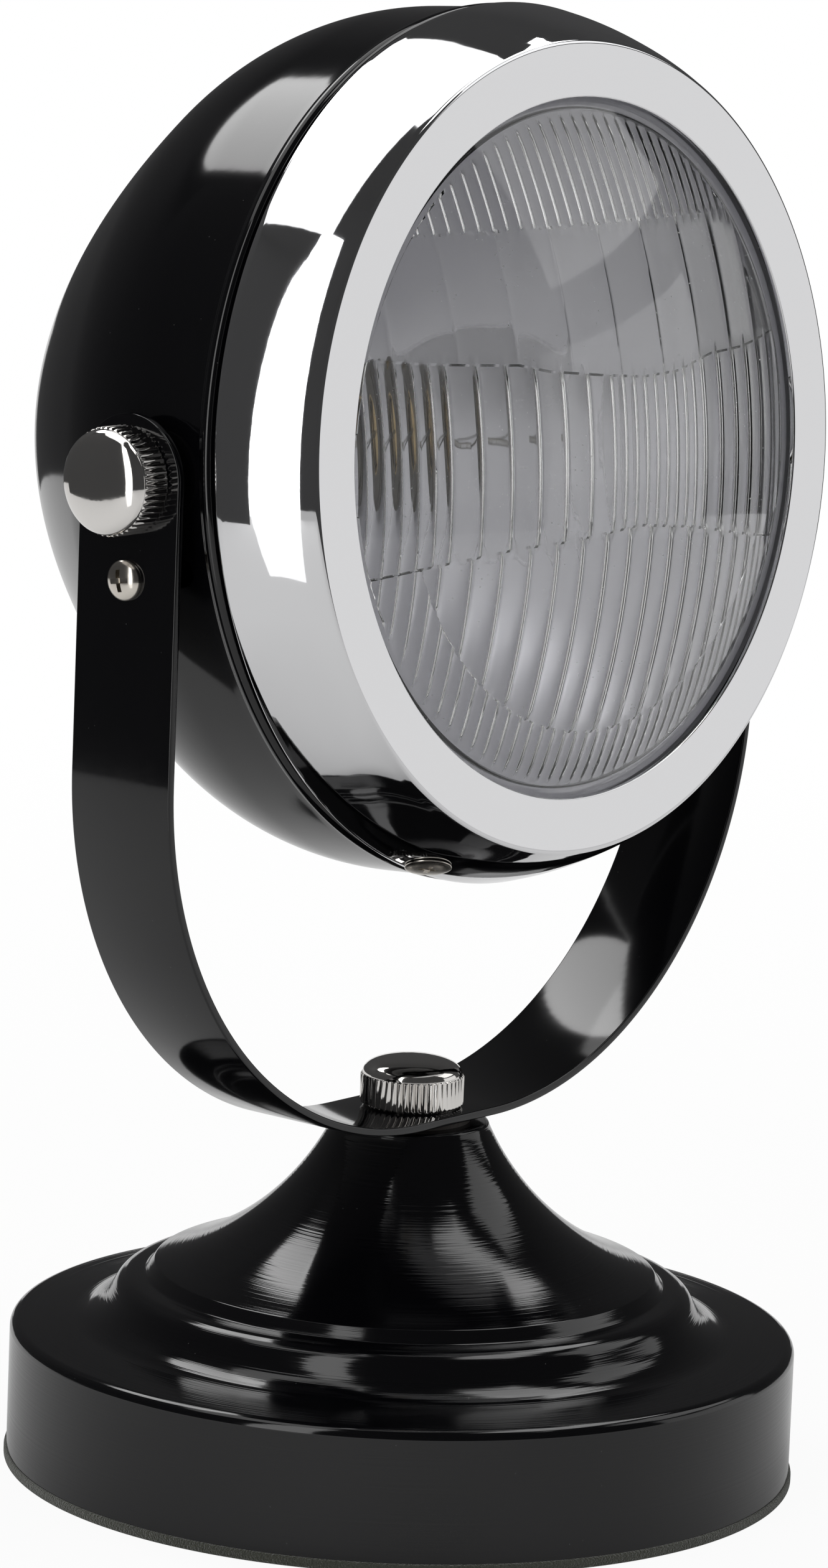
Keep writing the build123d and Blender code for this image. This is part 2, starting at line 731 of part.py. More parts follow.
def make_pivot_bolt():
    """Domed-head bolt from inside the shell out through spacer and arm."""
    shank = disc(rod_radius, yoke_half_width + rod_engagement - bolt_seat, bolt_seat)
    dome = EllipticalCenterArc((0, bolt_seat), pivot_head_radius, pivot_head_height, start_angle=-90, arc_size=90)
    head = turned(outline(Line((0, bolt_seat), (pivot_head_radius, bolt_seat)), dome,
                          Line((0, bolt_seat - pivot_head_height), (0, bolt_seat))))
    return Rot(0, 90, 0) * (shank + head)


def mirrored(shape):
    return shape.mirror(Plane.YZ)


def make_grommet():
    """Rubber bush in the shell's rear flat, with the cord's way through it."""
    rear = rear_flat_ahead - grommet_flange_thickness
    front = rear_flat_ahead + shell_wall
    neck = grommet_hole_radius - grommet_clearance
    inner_flange = (neck + grommet_flange_radius) / 2
    section = polygon((grommet_bore_radius, rear), (neck, rear), (grommet_flange_radius, rear_flat_ahead),
                      (neck, rear_flat_ahead), (neck, front), (inner_flange, front),
                      (neck, front + grommet_flange_thickness), (grommet_bore_radius, front + grommet_flange_thickness))
    return turned(section)


def side_nut_place(side):
    return Pos(side * yoke_half_width, 0, pivot_height) * Rot(0, side * 90, 0)


def all_nodes():
    nut = make_thumb_nut()
    spacer = make_spacer()
    backing = make_backing_washer()
    bolt = make_pivot_bolt()
    washer = make_friction_washer()
    up_to_pivot = Pos(0, 0, pivot_height)
    return {
        "base_shell": make_base_shell(),
        "base_weight": make_base_weight(),
        "felt_pad": make_felt(),
        "tie_rod": make_tie_rod(),
        "tie_rod_nut": make_rod_nut(),
        "tie_rod_washer": make_rod_washer(),
        "neck_washer": make_neck_washer(),
        "yoke": make_yoke(),
        "stop_screw": make_stop_screw(),
        "stop_screw_nut": make_stop_nut(),
        "friction_washer_left": up_to_pivot * mirrored(washer),
        "friction_washer_right": up_to_pivot * washer,
        "base_thumb_nut": Pos(0, 0, yoke_floor) * nut,
        "left_thumb_nut": side_nut_place(-1) * nut,
        "right_thumb_nut": side_nut_place(1) * nut,
        "head_shell": head_place * make_head_shell(),
        "bezel": head_place * make_bezel(),
        "bezel_screw": head_place * make_bezel_screw(),
        "bezel_clip_nut": head_place * make_clip_nut(),
        "lens": head_place * make_lens(),
        "lens_gasket": head_place * make_gasket(),
        "reflector": head_place * make_reflector(),
        "lens_clips": head_place * make_lens_clips(),
        "lampholder": head_place * make_lampholder(),
        "lampholder_ring_nut": head_place * make_ring_nut(),
        "lampholder_screw_shell": head_place * make_screw_shell(),
        "centre_contact": head_place * make_centre_contact(),
        "terminal_screws": head_place * make_terminal_screws(),
        "bulb_cap": head_place * make_bulb_cap(),
        "bulb_glass": head_place * make_bulb_glass(),
        "pivot_spacer_left": head_place * mirrored(spacer),
        "pivot_spacer_right": head_place * spacer,
        "backing_washer_left": head_place * mirrored(backing),
        "backing_washer_right": head_place * backing,
        "pivot_bolt_left": head_place * mirrored(bolt),
        "pivot_bolt_right": head_place * bolt,
        "cord_grommet": head_place * make_grommet(),
    }


os.makedirs("parts", exist_ok=True)
for node, shape in all_nodes().items():
    export_step(shape, f"parts/{node}.step")
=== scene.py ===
from math import asin, atan, atan2, cos, degrees, dist, pi, radians, sin, sqrt, tan

import bmesh
import bpy
import numpy as np
from mathutils import Matrix, Quaternion, Vector


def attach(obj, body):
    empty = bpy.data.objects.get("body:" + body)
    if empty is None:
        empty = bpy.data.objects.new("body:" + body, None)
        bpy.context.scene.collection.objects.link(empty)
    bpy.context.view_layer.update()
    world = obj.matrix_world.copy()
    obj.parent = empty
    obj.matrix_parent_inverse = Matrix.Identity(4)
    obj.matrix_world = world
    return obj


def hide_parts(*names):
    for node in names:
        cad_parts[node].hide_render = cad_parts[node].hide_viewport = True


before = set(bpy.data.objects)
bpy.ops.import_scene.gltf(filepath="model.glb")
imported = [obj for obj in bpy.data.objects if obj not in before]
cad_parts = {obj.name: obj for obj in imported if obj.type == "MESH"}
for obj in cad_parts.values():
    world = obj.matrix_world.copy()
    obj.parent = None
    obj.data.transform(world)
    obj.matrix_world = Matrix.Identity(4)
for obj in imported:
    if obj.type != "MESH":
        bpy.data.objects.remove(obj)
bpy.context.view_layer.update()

mm = 0.001
pivotHeight = 200.4
restTilt = 4.2  # degrees that the head looks up at rest
headPlace = (Matrix.Translation((0, 0, pivotHeight * mm))
             @ Matrix.Rotation(radians(90 - restTilt), 4, "X"))
upright = Matrix.Identity(4)


# profiles, drawn as (radius, height) in millimetres

def arcPoints(centre, radius, start, end, steps=None, stepDegrees=10.0):
    # points of the shorter arc from start to end, both included
    first = atan2(start.y - centre.y, start.x - centre.x)
    last = atan2(end.y - centre.y, end.x - centre.x)
    sweep = (last - first + pi) % (2 * pi) - pi
    steps = steps or max(2, int(abs(degrees(sweep)) / stepDegrees + 0.5))
    angles = [first + sweep * i / steps for i in range(steps + 1)]
    return [(centre.x + radius * cos(a), centre.y + radius * sin(a)) for a in angles]


def arcBetween(start, end, radius, steps, flip=False):
    # points of the shorter arc of that radius, first point left out
    a = Vector(start)
    b = Vector(end)
    half = (b - a) / 2
    rise = sqrt(max(radius * radius - half.length_squared, 0.0))
    side = Vector((-half.y, half.x)).normalized() * (rise if flip else -rise)
    return arcPoints((a + b) / 2 + side, radius, a, b, steps)[1:]


def roundedPath(corners, stepDegrees=10.0):
    # corners are (x, y) or (x, y, radius); a radius turns the corner into an arc
    points = []
    for i, corner in enumerate(corners):
        radius = corner[2] if len(corner) > 2 else 0.0
        here = Vector(corner[:2])
        if radius <= 0 or i in (0, len(corners) - 1):
            points.append((here.x, here.y))
            continue
        back = Vector(corners[i - 1][:2]) - here
        ahead = Vector(corners[i + 1][:2]) - here
        turn = back.angle(ahead)
        # an arc takes just under half of either side
        reach = min(radius / tan(turn / 2), back.length * 0.499, ahead.length * 0.499)
        size = reach * tan(turn / 2)
        enter = here + back.normalized() * reach
        leave = here + ahead.normalized() * reach
        bisector = (back.normalized() + ahead.normalized()).normalized()
        centre = here + bisector * (size / sin(turn / 2))
        points += arcPoints(centre, size, enter, leave, None, stepDegrees)
    return points


def pathNormals(points):
    # unit normals on the left of the path
    normals = []
    for i in range(len(points)):
        a = Vector(points[max(i - 1, 0)])
        b = Vector(points[min(i + 1, len(points) - 1)])
        along = (b - a).normalized()
        normals.append(Vector((-along.y, along.x)))
    return normals


def thickened(points, wall, keep=0.93):
    # closed section of sheet: the path and its copy one wall to the left; points of the copy
    # that come nearer to the path than that share of the wall are left out
    outer = np.array(points)
    inner = []
    for point, normal in zip(points, pathNormals(points)):
        spot = (point[0] + normal.x * wall, point[1] + normal.y * wall)
        nearest = np.sqrt(((outer - np.array(spot)) ** 2).sum(1)).min()
        if nearest > keep * abs(wall):
            inner.append(spot)
    return list(points) + inner[::-1]


def supported(profile, gap=0.25):
    # extra points at the ends of long runs that meet a rounded edge, so that flats stay flat
    points = [profile[0]]
    runs = [dist(start, end) for start, end in zip(profile[:-1], profile[1:])]
    for i, length in enumerate(runs):
        start = Vector(profile[i])
        end = Vector(profile[i + 1])
        if length > 5 * gap:
            if i and runs[i - 1] < length / 2:
                points.append(tuple(start.lerp(end, gap / length)))
            if i + 1 < len(runs) and runs[i + 1] < length / 2:
                points.append(tuple(end.lerp(start, gap / length)))
        points.append(profile[i + 1])
    return points


# meshes

def linked(name, data):
    # a new object in the scene that shows this mesh, curve, light or camera
    thing = bpy.data.objects.new(name, data)
    bpy.context.scene.collection.objects.link(thing)
    return thing


def finalMesh(thing):
    # its mesh with curve bevels and modifiers worked out
    bpy.context.view_layer.update()
    graph = bpy.context.evaluated_depsgraph_get()
    return bpy.data.meshes.new_from_object(thing.evaluated_get(graph))


def newPiece(name, vertices, faces, sharpDegrees=35.0):
    mesh = bpy.data.meshes.new(name)
    mesh.from_pydata(vertices, [], faces)
    mesh.validate()
    mesh.update()
    piece = linked(name, mesh)
    shadeSmooth(piece, sharpDegrees)
    return piece


def shadeSmooth(piece, sharpDegrees):
    mesh = piece.data
    mesh.polygons.foreach_set("use_smooth", [True] * len(mesh.polygons))
    mesh.set_sharp_from_angle(angle=radians(sharpDegrees))
    mesh.update()


def faceOutwards(piece, weld=0.0):
    work = bmesh.new()
    work.from_mesh(piece.data)
    if weld:
        bmesh.ops.remove_doubles(work, verts=work.verts, dist=weld)
    bmesh.ops.recalc_face_normals(work, faces=work.faces)
    work.to_mesh(piece.data)
    work.free()
    piece.data.update()


def addValues(piece, name, values):
    attribute = piece.data.attributes.new(name, "FLOAT", "POINT")
    attribute.data.foreach_set("value", values)


def bandFaces(lower, upper):
    # faces between two closed rings of vertex numbers; a doubled corner counts once
    faces = []
    for k in range(len(lower)):
        n = (k + 1) % len(lower)
        ring = list(dict.fromkeys((lower[k], lower[n], upper[n], upper[k])))
        if len(ring) > 2:
            faces.append(ring)
    return faces


def ringFaces(rings):
    # bands between each ring and the next
    faces = []
    for lower, upper in zip(rings[:-1], rings[1:]):
        faces += bandFaces(lower, upper)
    return faces


def addRing(vertices, spots):
    # adds the spots and gives their numbers
    vertices += spots
    return list(range(len(vertices) - len(spots), len(vertices)))


def addRings(vertices, profile, angles, place):
    # one ring of vertices for each point of the profile; on the axis it is a single vertex
    rings = []
    for radius, height in profile:
        if radius < 1e-6:
            centre = addRing(vertices, [place @ Vector((0, 0, height * mm))])
            rings.append(centre * len(angles))
            continue
        spots = [Vector((radius * cos(angle), radius * sin(angle), height)) * mm
                 for angle in angles]
        rings.append(addRing(vertices, [place @ spot for spot in spots]))
    return rings


def turnedPiece(name, profile, segments=256, place=upright, closed=True):
    # spins a profile about the height axis and notes the length along it for the shaders
    profile = supported(profile)
    vertices = []
    angles = [2 * pi * k / segments for k in range(segments)]
    rings = addRings(vertices, profile, angles, place)
    along = []
    length = 0.0
    for i, ring in enumerate(rings):
        length += dist(profile[i - 1], profile[i]) if i else 0.0
        along += [length] * len(set(ring))
    piece = newPiece(name, vertices, ringFaces(rings + rings[:1] if closed else rings))
    addValues(piece, "alongProfile", along)
    faceOutwards(piece)
    return piece


def cylinderBetween(name, radius, start, end, segments=48):
    axis = Vector(end) - Vector(start)
    turn = axis.normalized().to_track_quat("Z", "Y").to_matrix().to_4x4()
    place = Matrix.Translation(Vector(start) * mm) @ turn
    profile = [(0, 0), (radius, 0), (radius, axis.length), (0, axis.length)]
    return turnedPiece(name, profile, segments, place, closed=False)


def cutAway(piece, cutters):
    # takes the cutters out of the piece for good
    for cutter in cutters:
        modifier = piece.modifiers.new("cut", "BOOLEAN")
        modifier.operation = "DIFFERENCE"
        modifier.solver = "EXACT"
        modifier.object = cutter
    mesh = finalMesh(piece)
    piece.modifiers.clear()
    piece.data = mesh
    for cutter in cutters:
        bpy.data.objects.remove(cutter)


def smoothAsTurned(piece, outline, place):
    # gives a cut piece the exact normals of the turned surface it was cut from
    mesh = piece.data
    spots = np.empty(len(mesh.vertices) * 3)
    mesh.vertices.foreach_get("co", spots)
    back = np.array(place.inverted())
    local = spots.reshape(-1, 3) @ back[:3, :3].T + back[:3, 3]
    radius = np.hypot(local[:, 0], local[:, 1]) / mm
    height = local[:, 2] / mm
    points = np.array(outline)
    gap = (radius[:, None] - points[:, 0]) ** 2 + (height[:, None] - points[:, 1]) ** 2
    onSkin = gap.min(1) < 1.0  # within a millimetre of the outline
    normals = np.array([(-n.x, -n.y) for n in pathNormals(outline)])[gap.argmin(1)]
    outwards = normals[:, :1] * local[:, :2] / mm / np.maximum(radius, 1e-6)[:, None]
    exact = np.hstack([outwards, normals[:, 1:]]) @ np.array(place)[:3, :3].T
    custom = []
    for polygon in mesh.polygons:
        for loop in polygon.loop_indices:
            vertex = mesh.loops[loop].vertex_index
            normal = Vector(exact[vertex])
            if onSkin[vertex] and normal.dot(polygon.normal) > 0.8:
                custom.append(normal.normalized())
            else:
                custom.append(polygon.normal.copy())
    mesh.polygons.foreach_set("use_smooth", [True] * len(mesh.polygons))
    mesh.normals_split_custom_set(custom)


def settle(piece, finish, body, slot, *nodes):
    # finish and body of a piece, and the CAD nodes it stands for, which are hidden; slot is not
    # used
    dress(piece, finish)
    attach(piece, body)
    if nodes:
        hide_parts(*nodes)


# shaders

def feed(node, values):
    # values or links for the named inputs of a node
    for label, value in values.items():
        if isinstance(value, bpy.types.NodeSocket):
            node.id_data.links.new(value, node.inputs[label])
        else:
            node.inputs[label].default_value = value


def addNode(tree, kind, values, **settings):
    node = tree.nodes.new(kind)
    for label, value in settings.items():
        setattr(node, label, value)
    feed(node, values)
    return node


def addMath(tree, operation, first, second):
    node = addNode(tree, "ShaderNodeMath", {0: first, 1: second}, operation=operation)
    return node.outputs[0]


def addRange(tree, value, start, end, low, high, **settings):
    values = {"Value": value, "From Min": start, "From Max": end, "To Min": low, "To Max": high}
    return addNode(tree, "ShaderNodeMapRange", values, **settings).outputs["Result"]


def objectPlace(tree):
    return addNode(tree, "ShaderNodeTexCoord", {}).outputs["Object"]


def addNoise(tree, scale, detail):
    values = {"Vector": objectPlace(tree), "Scale": scale, "Detail": detail}
    return addNode(tree, "ShaderNodeTexNoise", values).outputs[0]


def newGroup(name, inputs, output):
    group = bpy.data.node_groups.new(name, "ShaderNodeTree")
    for label, value in inputs.items():
        socket = group.interface.new_socket(name=label, in_out="INPUT",
                                            socket_type="NodeSocketFloat")
        socket.default_value = value
    group.interface.new_socket(name=output, in_out="OUTPUT", socket_type="NodeSocketFloat")
    return group, group.nodes.new("NodeGroupInput").outputs, group.nodes.new("NodeGroupOutput")


def makeOrangePeel():
    # faint ripple of sprayed paint or buffed plating
    group, given, leave = newGroup("orangePeel", {"Scale": 400.0, "Amount": 1.0}, "Height")
    noise = addNoise(group, given["Scale"], 2.0)
    feed(leave, {"Height": addMath(group, "MULTIPLY", noise, given["Amount"])})
    return group


def makeSpunRings():
    # fine rings that spinning leaves round a turned piece
    group, given, leave = newGroup("spunRings", {"Spacing": 1.0, "Amount": 1.0}, "Height")
    read = addNode(group, "ShaderNodeAttribute", {}, attribute_name="alongProfile")
    along = addMath(group, "DIVIDE", read.outputs["Fac"], given["Spacing"])
    noise = addNode(group, "ShaderNodeTexNoise", {"W": along, "Scale": 1.0, "Detail": 3.0},
                    noise_dimensions="1D")
    feed(leave, {"Height": addMath(group, "MULTIPLY", noise.outputs[0], given["Amount"])})
    return group


def makeHandling():
    # roughness that wanders between two values where the surface has been handled
    values = {"Scale": 30.0, "Clean": 0.05, "Touched": 0.2}
    group, given, leave = newGroup("handling", values, "Roughness")
    noise = addNoise(group, given["Scale"], 5.0)
    feed(leave, {"Roughness": addRange(group, noise, 0.35, 0.75, given["Clean"],
                                       given["Touched"])})
    return group


def makeSpecks():
    # sparse dust: 1 on a speck, 0 elsewhere
    group, given, leave = newGroup("dustSpecks", {"Scale": 500.0, "Size": 0.06}, "Mask")
    cells = addNode(group, "ShaderNodeTexVoronoi",
                    {"Vector": objectPlace(group), "Scale": given["Scale"]})
    near = addMath(group, "LESS_THAN", cells.outputs["Distance"], given["Size"])
    dusty = addMath(group, "GREATER_THAN", addNoise(group, 90.0, 1.0), 0.56)
    feed(leave, {"Mask": addMath(group, "MULTIPLY", near, dusty)})
    return group


orangePeel = makeOrangePeel()
spunRings = makeSpunRings()
handling = makeHandling()
dustSpecks = makeSpecks()


def useGroup(tree, group, **values):
    # places a shared group with its own values; each has one output
    node = addNode(tree, "ShaderNodeGroup", {}, node_tree=group)
    feed(node, values)
    return node.outputs[0]


def newMaterial(name, values):
    material = bpy.data.materials.new(name)
    material.use_nodes = True
    tree = material.node_tree
    tree.nodes.clear()
    shader = addNode(tree, "ShaderNodeBsdfPrincipled", values)
    addNode(tree, "ShaderNodeOutputMaterial", {"Surface": shader.outputs[0]})
    return material, tree, shader


def addBump(tree, shader, height, distance):
    bump = addNode(tree, "ShaderNodeBump", {"Height": height, "Distance": distance})
    feed(shader, {"Normal": bump.outputs[0]})


def addTint(tree, shader, factor, low, high):
    values = {"Factor": factor, "A": (*low, 1), "B": (*high, 1)}
    ramp = addNode(tree, "ShaderNodeMix", values, data_type="RGBA")
    feed(shader, {"Base Color": ramp.outputs["Result"]})


paintLook = {
    "colour": (0.0014, 0.0014, 0.0019),
    "dust": (0.04, 0.04, 0.04),
    "dustScale": 420.0,
    "dustSize": 0.045,
    "handScale": 35.0,
    "clean": 0.07,
    "touched": 0.11,
    "peelScale": 260.0,
    "peel": 0.6,
    "ringSpacing": 0.55,  # millimetres
    "depth": 0.00001,
}


def blackPaint(name, rings):
    # sprayed gloss black over spun or pressed steel
    look = paintLook
    material, tree, shader = newMaterial(name, {"IOR": 1.5})
    specks = useGroup(tree, dustSpecks, Scale=look["dustScale"], Size=look["dustSize"])
    addTint(tree, shader, specks, look["colour"], look["dust"])
    touch = useGroup(tree, handling, Scale=look["handScale"], Clean=look["clean"],
                     Touched=look["touched"])
    feed(shader, {"Roughness": touch})
    peel = useGroup(tree, orangePeel, Scale=look["peelScale"], Amount=look["peel"])
    lathe = useGroup(tree, spunRings, Spacing=look["ringSpacing"], Amount=rings)
    addBump(tree, shader, addMath(tree, "ADD", peel, lathe), look["depth"])
    return material


platingLook = {"handScale": 60.0, "depth": 0.000004}


def platedMetal(name, colour, clean, touched, peelScale, peel, metallic=1.0):
    look = platingLook
    material, tree, shader = newMaterial(name, {"Base Color": (*colour, 1), "Metallic": metallic})
    touch = useGroup(tree, handling, Scale=look["handScale"], Clean=clean, Touched=touched)
    feed(shader, {"Roughness": touch})
    addBump(tree, shader, useGroup(tree, orangePeel, Scale=peelScale, Amount=peel), look["depth"])
    return material


def grained(name, dark, light, roughness, scale, depth=0.0, metallic=0.0, sheen=0.0):
    # matt stuff with a fine grain between two colours
    values = {"Roughness": roughness, "Metallic": metallic, "Sheen Weight": sheen}
    material, tree, shader = newMaterial(name, values)
    grain = useGroup(tree, orangePeel, Scale=scale, Amount=1.0)
    addTint(tree, shader, grain, dark, light)
    if depth:
        addBump(tree, shader, grain, depth)
    return material


glassLook = {
    "rippleScale": 180.0,
    "depth": 0.00001,
    "handScale": 25.0,
    "touched": 0.05,  # roughness added where it has been touched
    "dustScale": 700.0,
    "dustSize": 0.1,
    "dustRough": 0.5,
    "frost": 0.5,  # roughness in the valleys between the ribs
}


def clearGlass(name, colour, roughness, ior):
    look = glassLook
    values = {"Base Color": (*colour, 1), "Transmission Weight": 1.0, "IOR": ior}
    material, tree, shader = newMaterial(name, values)
    ripple = useGroup(tree, orangePeel, Scale=look["rippleScale"], Amount=1.0)
    addBump(tree, shader, ripple, look["depth"])
    touch = useGroup(tree, handling, Scale=look["handScale"], Clean=roughness,
                     Touched=roughness + look["touched"])
    specks = useGroup(tree, dustSpecks, Scale=look["dustScale"], Size=look["dustSize"])
    dusty = addMath(tree, "MULTIPLY", specks, look["dustRough"])
    valley = addNode(tree, "ShaderNodeAttribute", {}, attribute_name="valley").outputs["Fac"]
    frosted = addMath(tree, "MULTIPLY", valley, look["frost"])
    rough = addMath(tree, "MAXIMUM", dusty, frosted)
    feed(shader, {"Roughness": addMath(tree, "ADD", touch, rough)})
    return material


# plated: colour, clean and touched roughness, scale and amount of ripple, metallic
# grained: dark, light, roughness, scale of grain, depth in metres, metallic, sheen
finishes = {
    "basePaint": blackPaint("basePaint", 3.0),
    "paint": blackPaint("paint", 0.0),
    "chrome": platedMetal("chrome", (0.72, 0.72, 0.73), 0.03, 0.05, 350.0, 1.0),
    "nutChrome": platedMetal("nutChrome", (0.75, 0.73, 0.705), 0.05, 0.1, 700.0, 2.0),
    "nickel": platedMetal("nickel", (0.66, 0.62, 0.56), 0.16, 0.32, 900.0, 2.0),
    "zinc": platedMetal("zinc", (0.55, 0.55, 0.54), 0.3, 0.45, 900.0, 3.0),
    "brass": platedMetal("brass", (0.36, 0.27, 0.15), 0.28, 0.42, 900.0, 2.0),
    "reflector": platedMetal("reflector", (0.56, 0.555, 0.60), 0.36, 0.44, 120.0, 4.0, 0.5),
    "iron": grained("castIron", (0.02, 0.02, 0.022), (0.09, 0.085, 0.08), 0.7, 900.0, 0.0006, 0.6),
    "felt": grained("feltCloth", (0.012, 0.013, 0.009), (0.06, 0.065, 0.045), 0.95, 2600.0,
                    0.0008, 0.0, 0.3),
    "rubber": grained("rubber", (0.012,) * 3, (0.03,) * 3, 0.7, 1500.0, 0.00003),
    "gasketRubber": grained("gasketRubber", (0.42, 0.42, 0.44), (0.54, 0.54, 0.56), 0.6, 1500.0,
                            0.00003),
    "holder": grained("holder", (0.02, 0.014, 0.01), (0.04, 0.03, 0.02), 0.3, 1500.0, 0.00003),
    "fibre": grained("fibre", (0.02, 0.018, 0.016), (0.06, 0.05, 0.045), 0.8, 1500.0, 0.00003),
    "lensGlass": clearGlass("lensGlass", (0.98, 0.985, 0.975), 0.03, 1.5),
    "bulbGlass": clearGlass("bulbGlass", (0.99, 0.99, 0.99), 0.0, 1.03),
    "tungsten": grained("tungsten", (0.2, 0.19, 0.18), (0.45, 0.43, 0.4), 0.35, 5000.0, 0.0, 1.0),
}
print("materials made:", len(finishes))


def dress(piece, finish):
    piece.data.materials.clear()
    piece.data.materials.append(finishes[finish])


# base

baseShape = {
    "radius": 76.0,
    "foot": 2.0,
    "plateEdge": 27.2,
    "plateRound": 2.0,
    "coves": [(59.2, 28.5, 9.0), (54.8, 36.3, 4.2), (50.2, 36.8, 0.8), (48.4, 39.2, 0.6)],
    "wall": 1.5,
    "flareRadius": 53.5,
    "flareStart": (46.6, 39.9),
    "flareEnd": (15.2, 67.9),
    "neckTop": 68.7,
    "neckRadius": 14.4,
    "neckRound": 0.8,
    "rodHole": 3.2,
}


def makeBaseShell():
    shape = baseShape
    foot = (shape["radius"], shape["foot"])
    plate = (shape["radius"], shape["plateEdge"], shape["plateRound"])
    neck = (shape["neckRadius"], shape["neckTop"])
    outer = roundedPath([foot, plate, *shape["coves"], shape["flareStart"]], 7.0)
    outer += arcBetween(shape["flareStart"], shape["flareEnd"], shape["flareRadius"], 40)
    outer += arcBetween(shape["flareEnd"], neck, shape["neckRound"], 6, True)
    outer.append((shape["rodHole"], shape["neckTop"]))
    piece = turnedPiece("spunBase", thickened(outer, shape["wall"]), 320)
    settle(piece, "basePaint", "base", "black_paint", "base_shell")


feltShape = {"radius": 76.5, "thickness": 2.0, "softEdge": 0.5}


def makeFelt():
    shape = feltShape
    profile = roundedPath([
        (0, 0.0),
        (shape["radius"], 0.0, shape["softEdge"]),
        (shape["radius"], shape["thickness"], shape["softEdge"]),
        (0, shape["thickness"]),
    ], 15.0)
    piece = turnedPiece("feltRing", profile, closed=False)
    settle(piece, "felt", "base", "felt", "felt_pad")


makeBaseShell()
makeFelt()
print("base made")


# yoke

yokeShape = {
    "halfWidth": 87.0,
    "underside": 69.6,
    "bend": 76.0,
    "strip": 24.0,
    "thickness": 1.6,
    "edgeRound": 0.35,
    "hole": 3.06,
    "stopHole": 2.1,
    "stopDrop": 18.4,
    "sharp": 30.0,  # degrees from which an edge shades as sharp
}


def yokeLine():
    # stations of the outer face from the left end to the right: x, z, its normal, half width
    shape = yokeShape
    half = shape["strip"] / 2
    side = shape["halfWidth"]
    flat = side - shape["bend"]
    centre = shape["underside"] + shape["bend"]
    stations = []
    for i in range(25):
        lift = half * cos(radians(90 * i / 24))
        width = sqrt(max(half ** 2 - lift ** 2, 0.0))
        stations.append((-side, pivotHeight + lift, -1.0, 0.0, width))
    for i in range(1, 13):
        height = pivotHeight + (centre - pivotHeight) * i / 12
        stations.append((-side, height, -1.0, 0.0, half))
    for i in range(1, 61):
        angle = radians(180 + 90 * i / 60)
        nx, nz = cos(angle), sin(angle)
        stations.append((shape["bend"] * nx - flat, centre + shape["bend"] * nz, nx, nz, half))
    mirror = [(-x, z, -nx, nz, width) for x, z, nx, nz, width in stations]
    middle = [(flat * (i / 4 - 1), shape["underside"], 0.0, -1.0, half) for i in range(1, 8)]
    return stations + middle + mirror[::-1]


def makeYoke():
    shape = yokeShape
    small = shape["edgeRound"]
    deep = shape["thickness"]
    bends = [radians(22.5 * k) for k in range(5)]
    vertices = []
    rings = []
    for x, z, nx, nz, width in yokeLine():
        inner = max(width, small * 1.05) - small
        rim = [(inner + small * sin(b), small - small * cos(b)) for b in bends]
        rim += [(inner + small * cos(b), deep - small + small * sin(b)) for b in bends]
        section = rim + [(-y, deep - depth) for y, depth in rim]
        rings.append(addRing(vertices, [Vector((x - nx * depth, y, z - nz * depth)) * mm
                                        for y, depth in section]))
    faces = [rings[0], rings[-1][::-1]] + ringFaces(rings)
    piece = newPiece("yokeStrip", vertices, faces, shape["sharp"])
    faceOutwards(piece)
    reach = shape["halfWidth"] + 5  # the cutters stand a little proud of the strip
    stop = pivotHeight - shape["stopDrop"]
    low = shape["underside"]
    cutAway(piece, [
        cylinderBetween("rodCut", shape["hole"], (0, 0, low - 3), (0, 0, low + 5)),
        cylinderBetween("pivotCut", shape["hole"], (-reach, 0, pivotHeight),
                        (reach, 0, pivotHeight)),
        cylinderBetween("stopCut", shape["stopHole"], (-reach, 0, stop), (15 - reach, 0, stop)),
    ])
    shadeSmooth(piece, shape["sharp"])
    settle(piece, "paint", "yoke", "black_paint", "yoke")


makeYoke()
print("yoke made")


# knurled thumb nuts

nutShape = {
    "radius": 10.0,
    "skirt": 6.3,
    "height": 9.7,
    "bore": 3.06,
    "boreDepth": 7.0,
    "teeth": 50,
    "toothDepth": 0.55,
    "toothTop": 0.08,  # share of half a tooth that is flat, and the share that is flank
    "toothFlank": 0.8,
    "lead": 0.8,
    "topLead": 0.35,
    "domePower": 0.88,  # below 1 the dome is fuller than an ellipse
    "seat": 71.2,
}


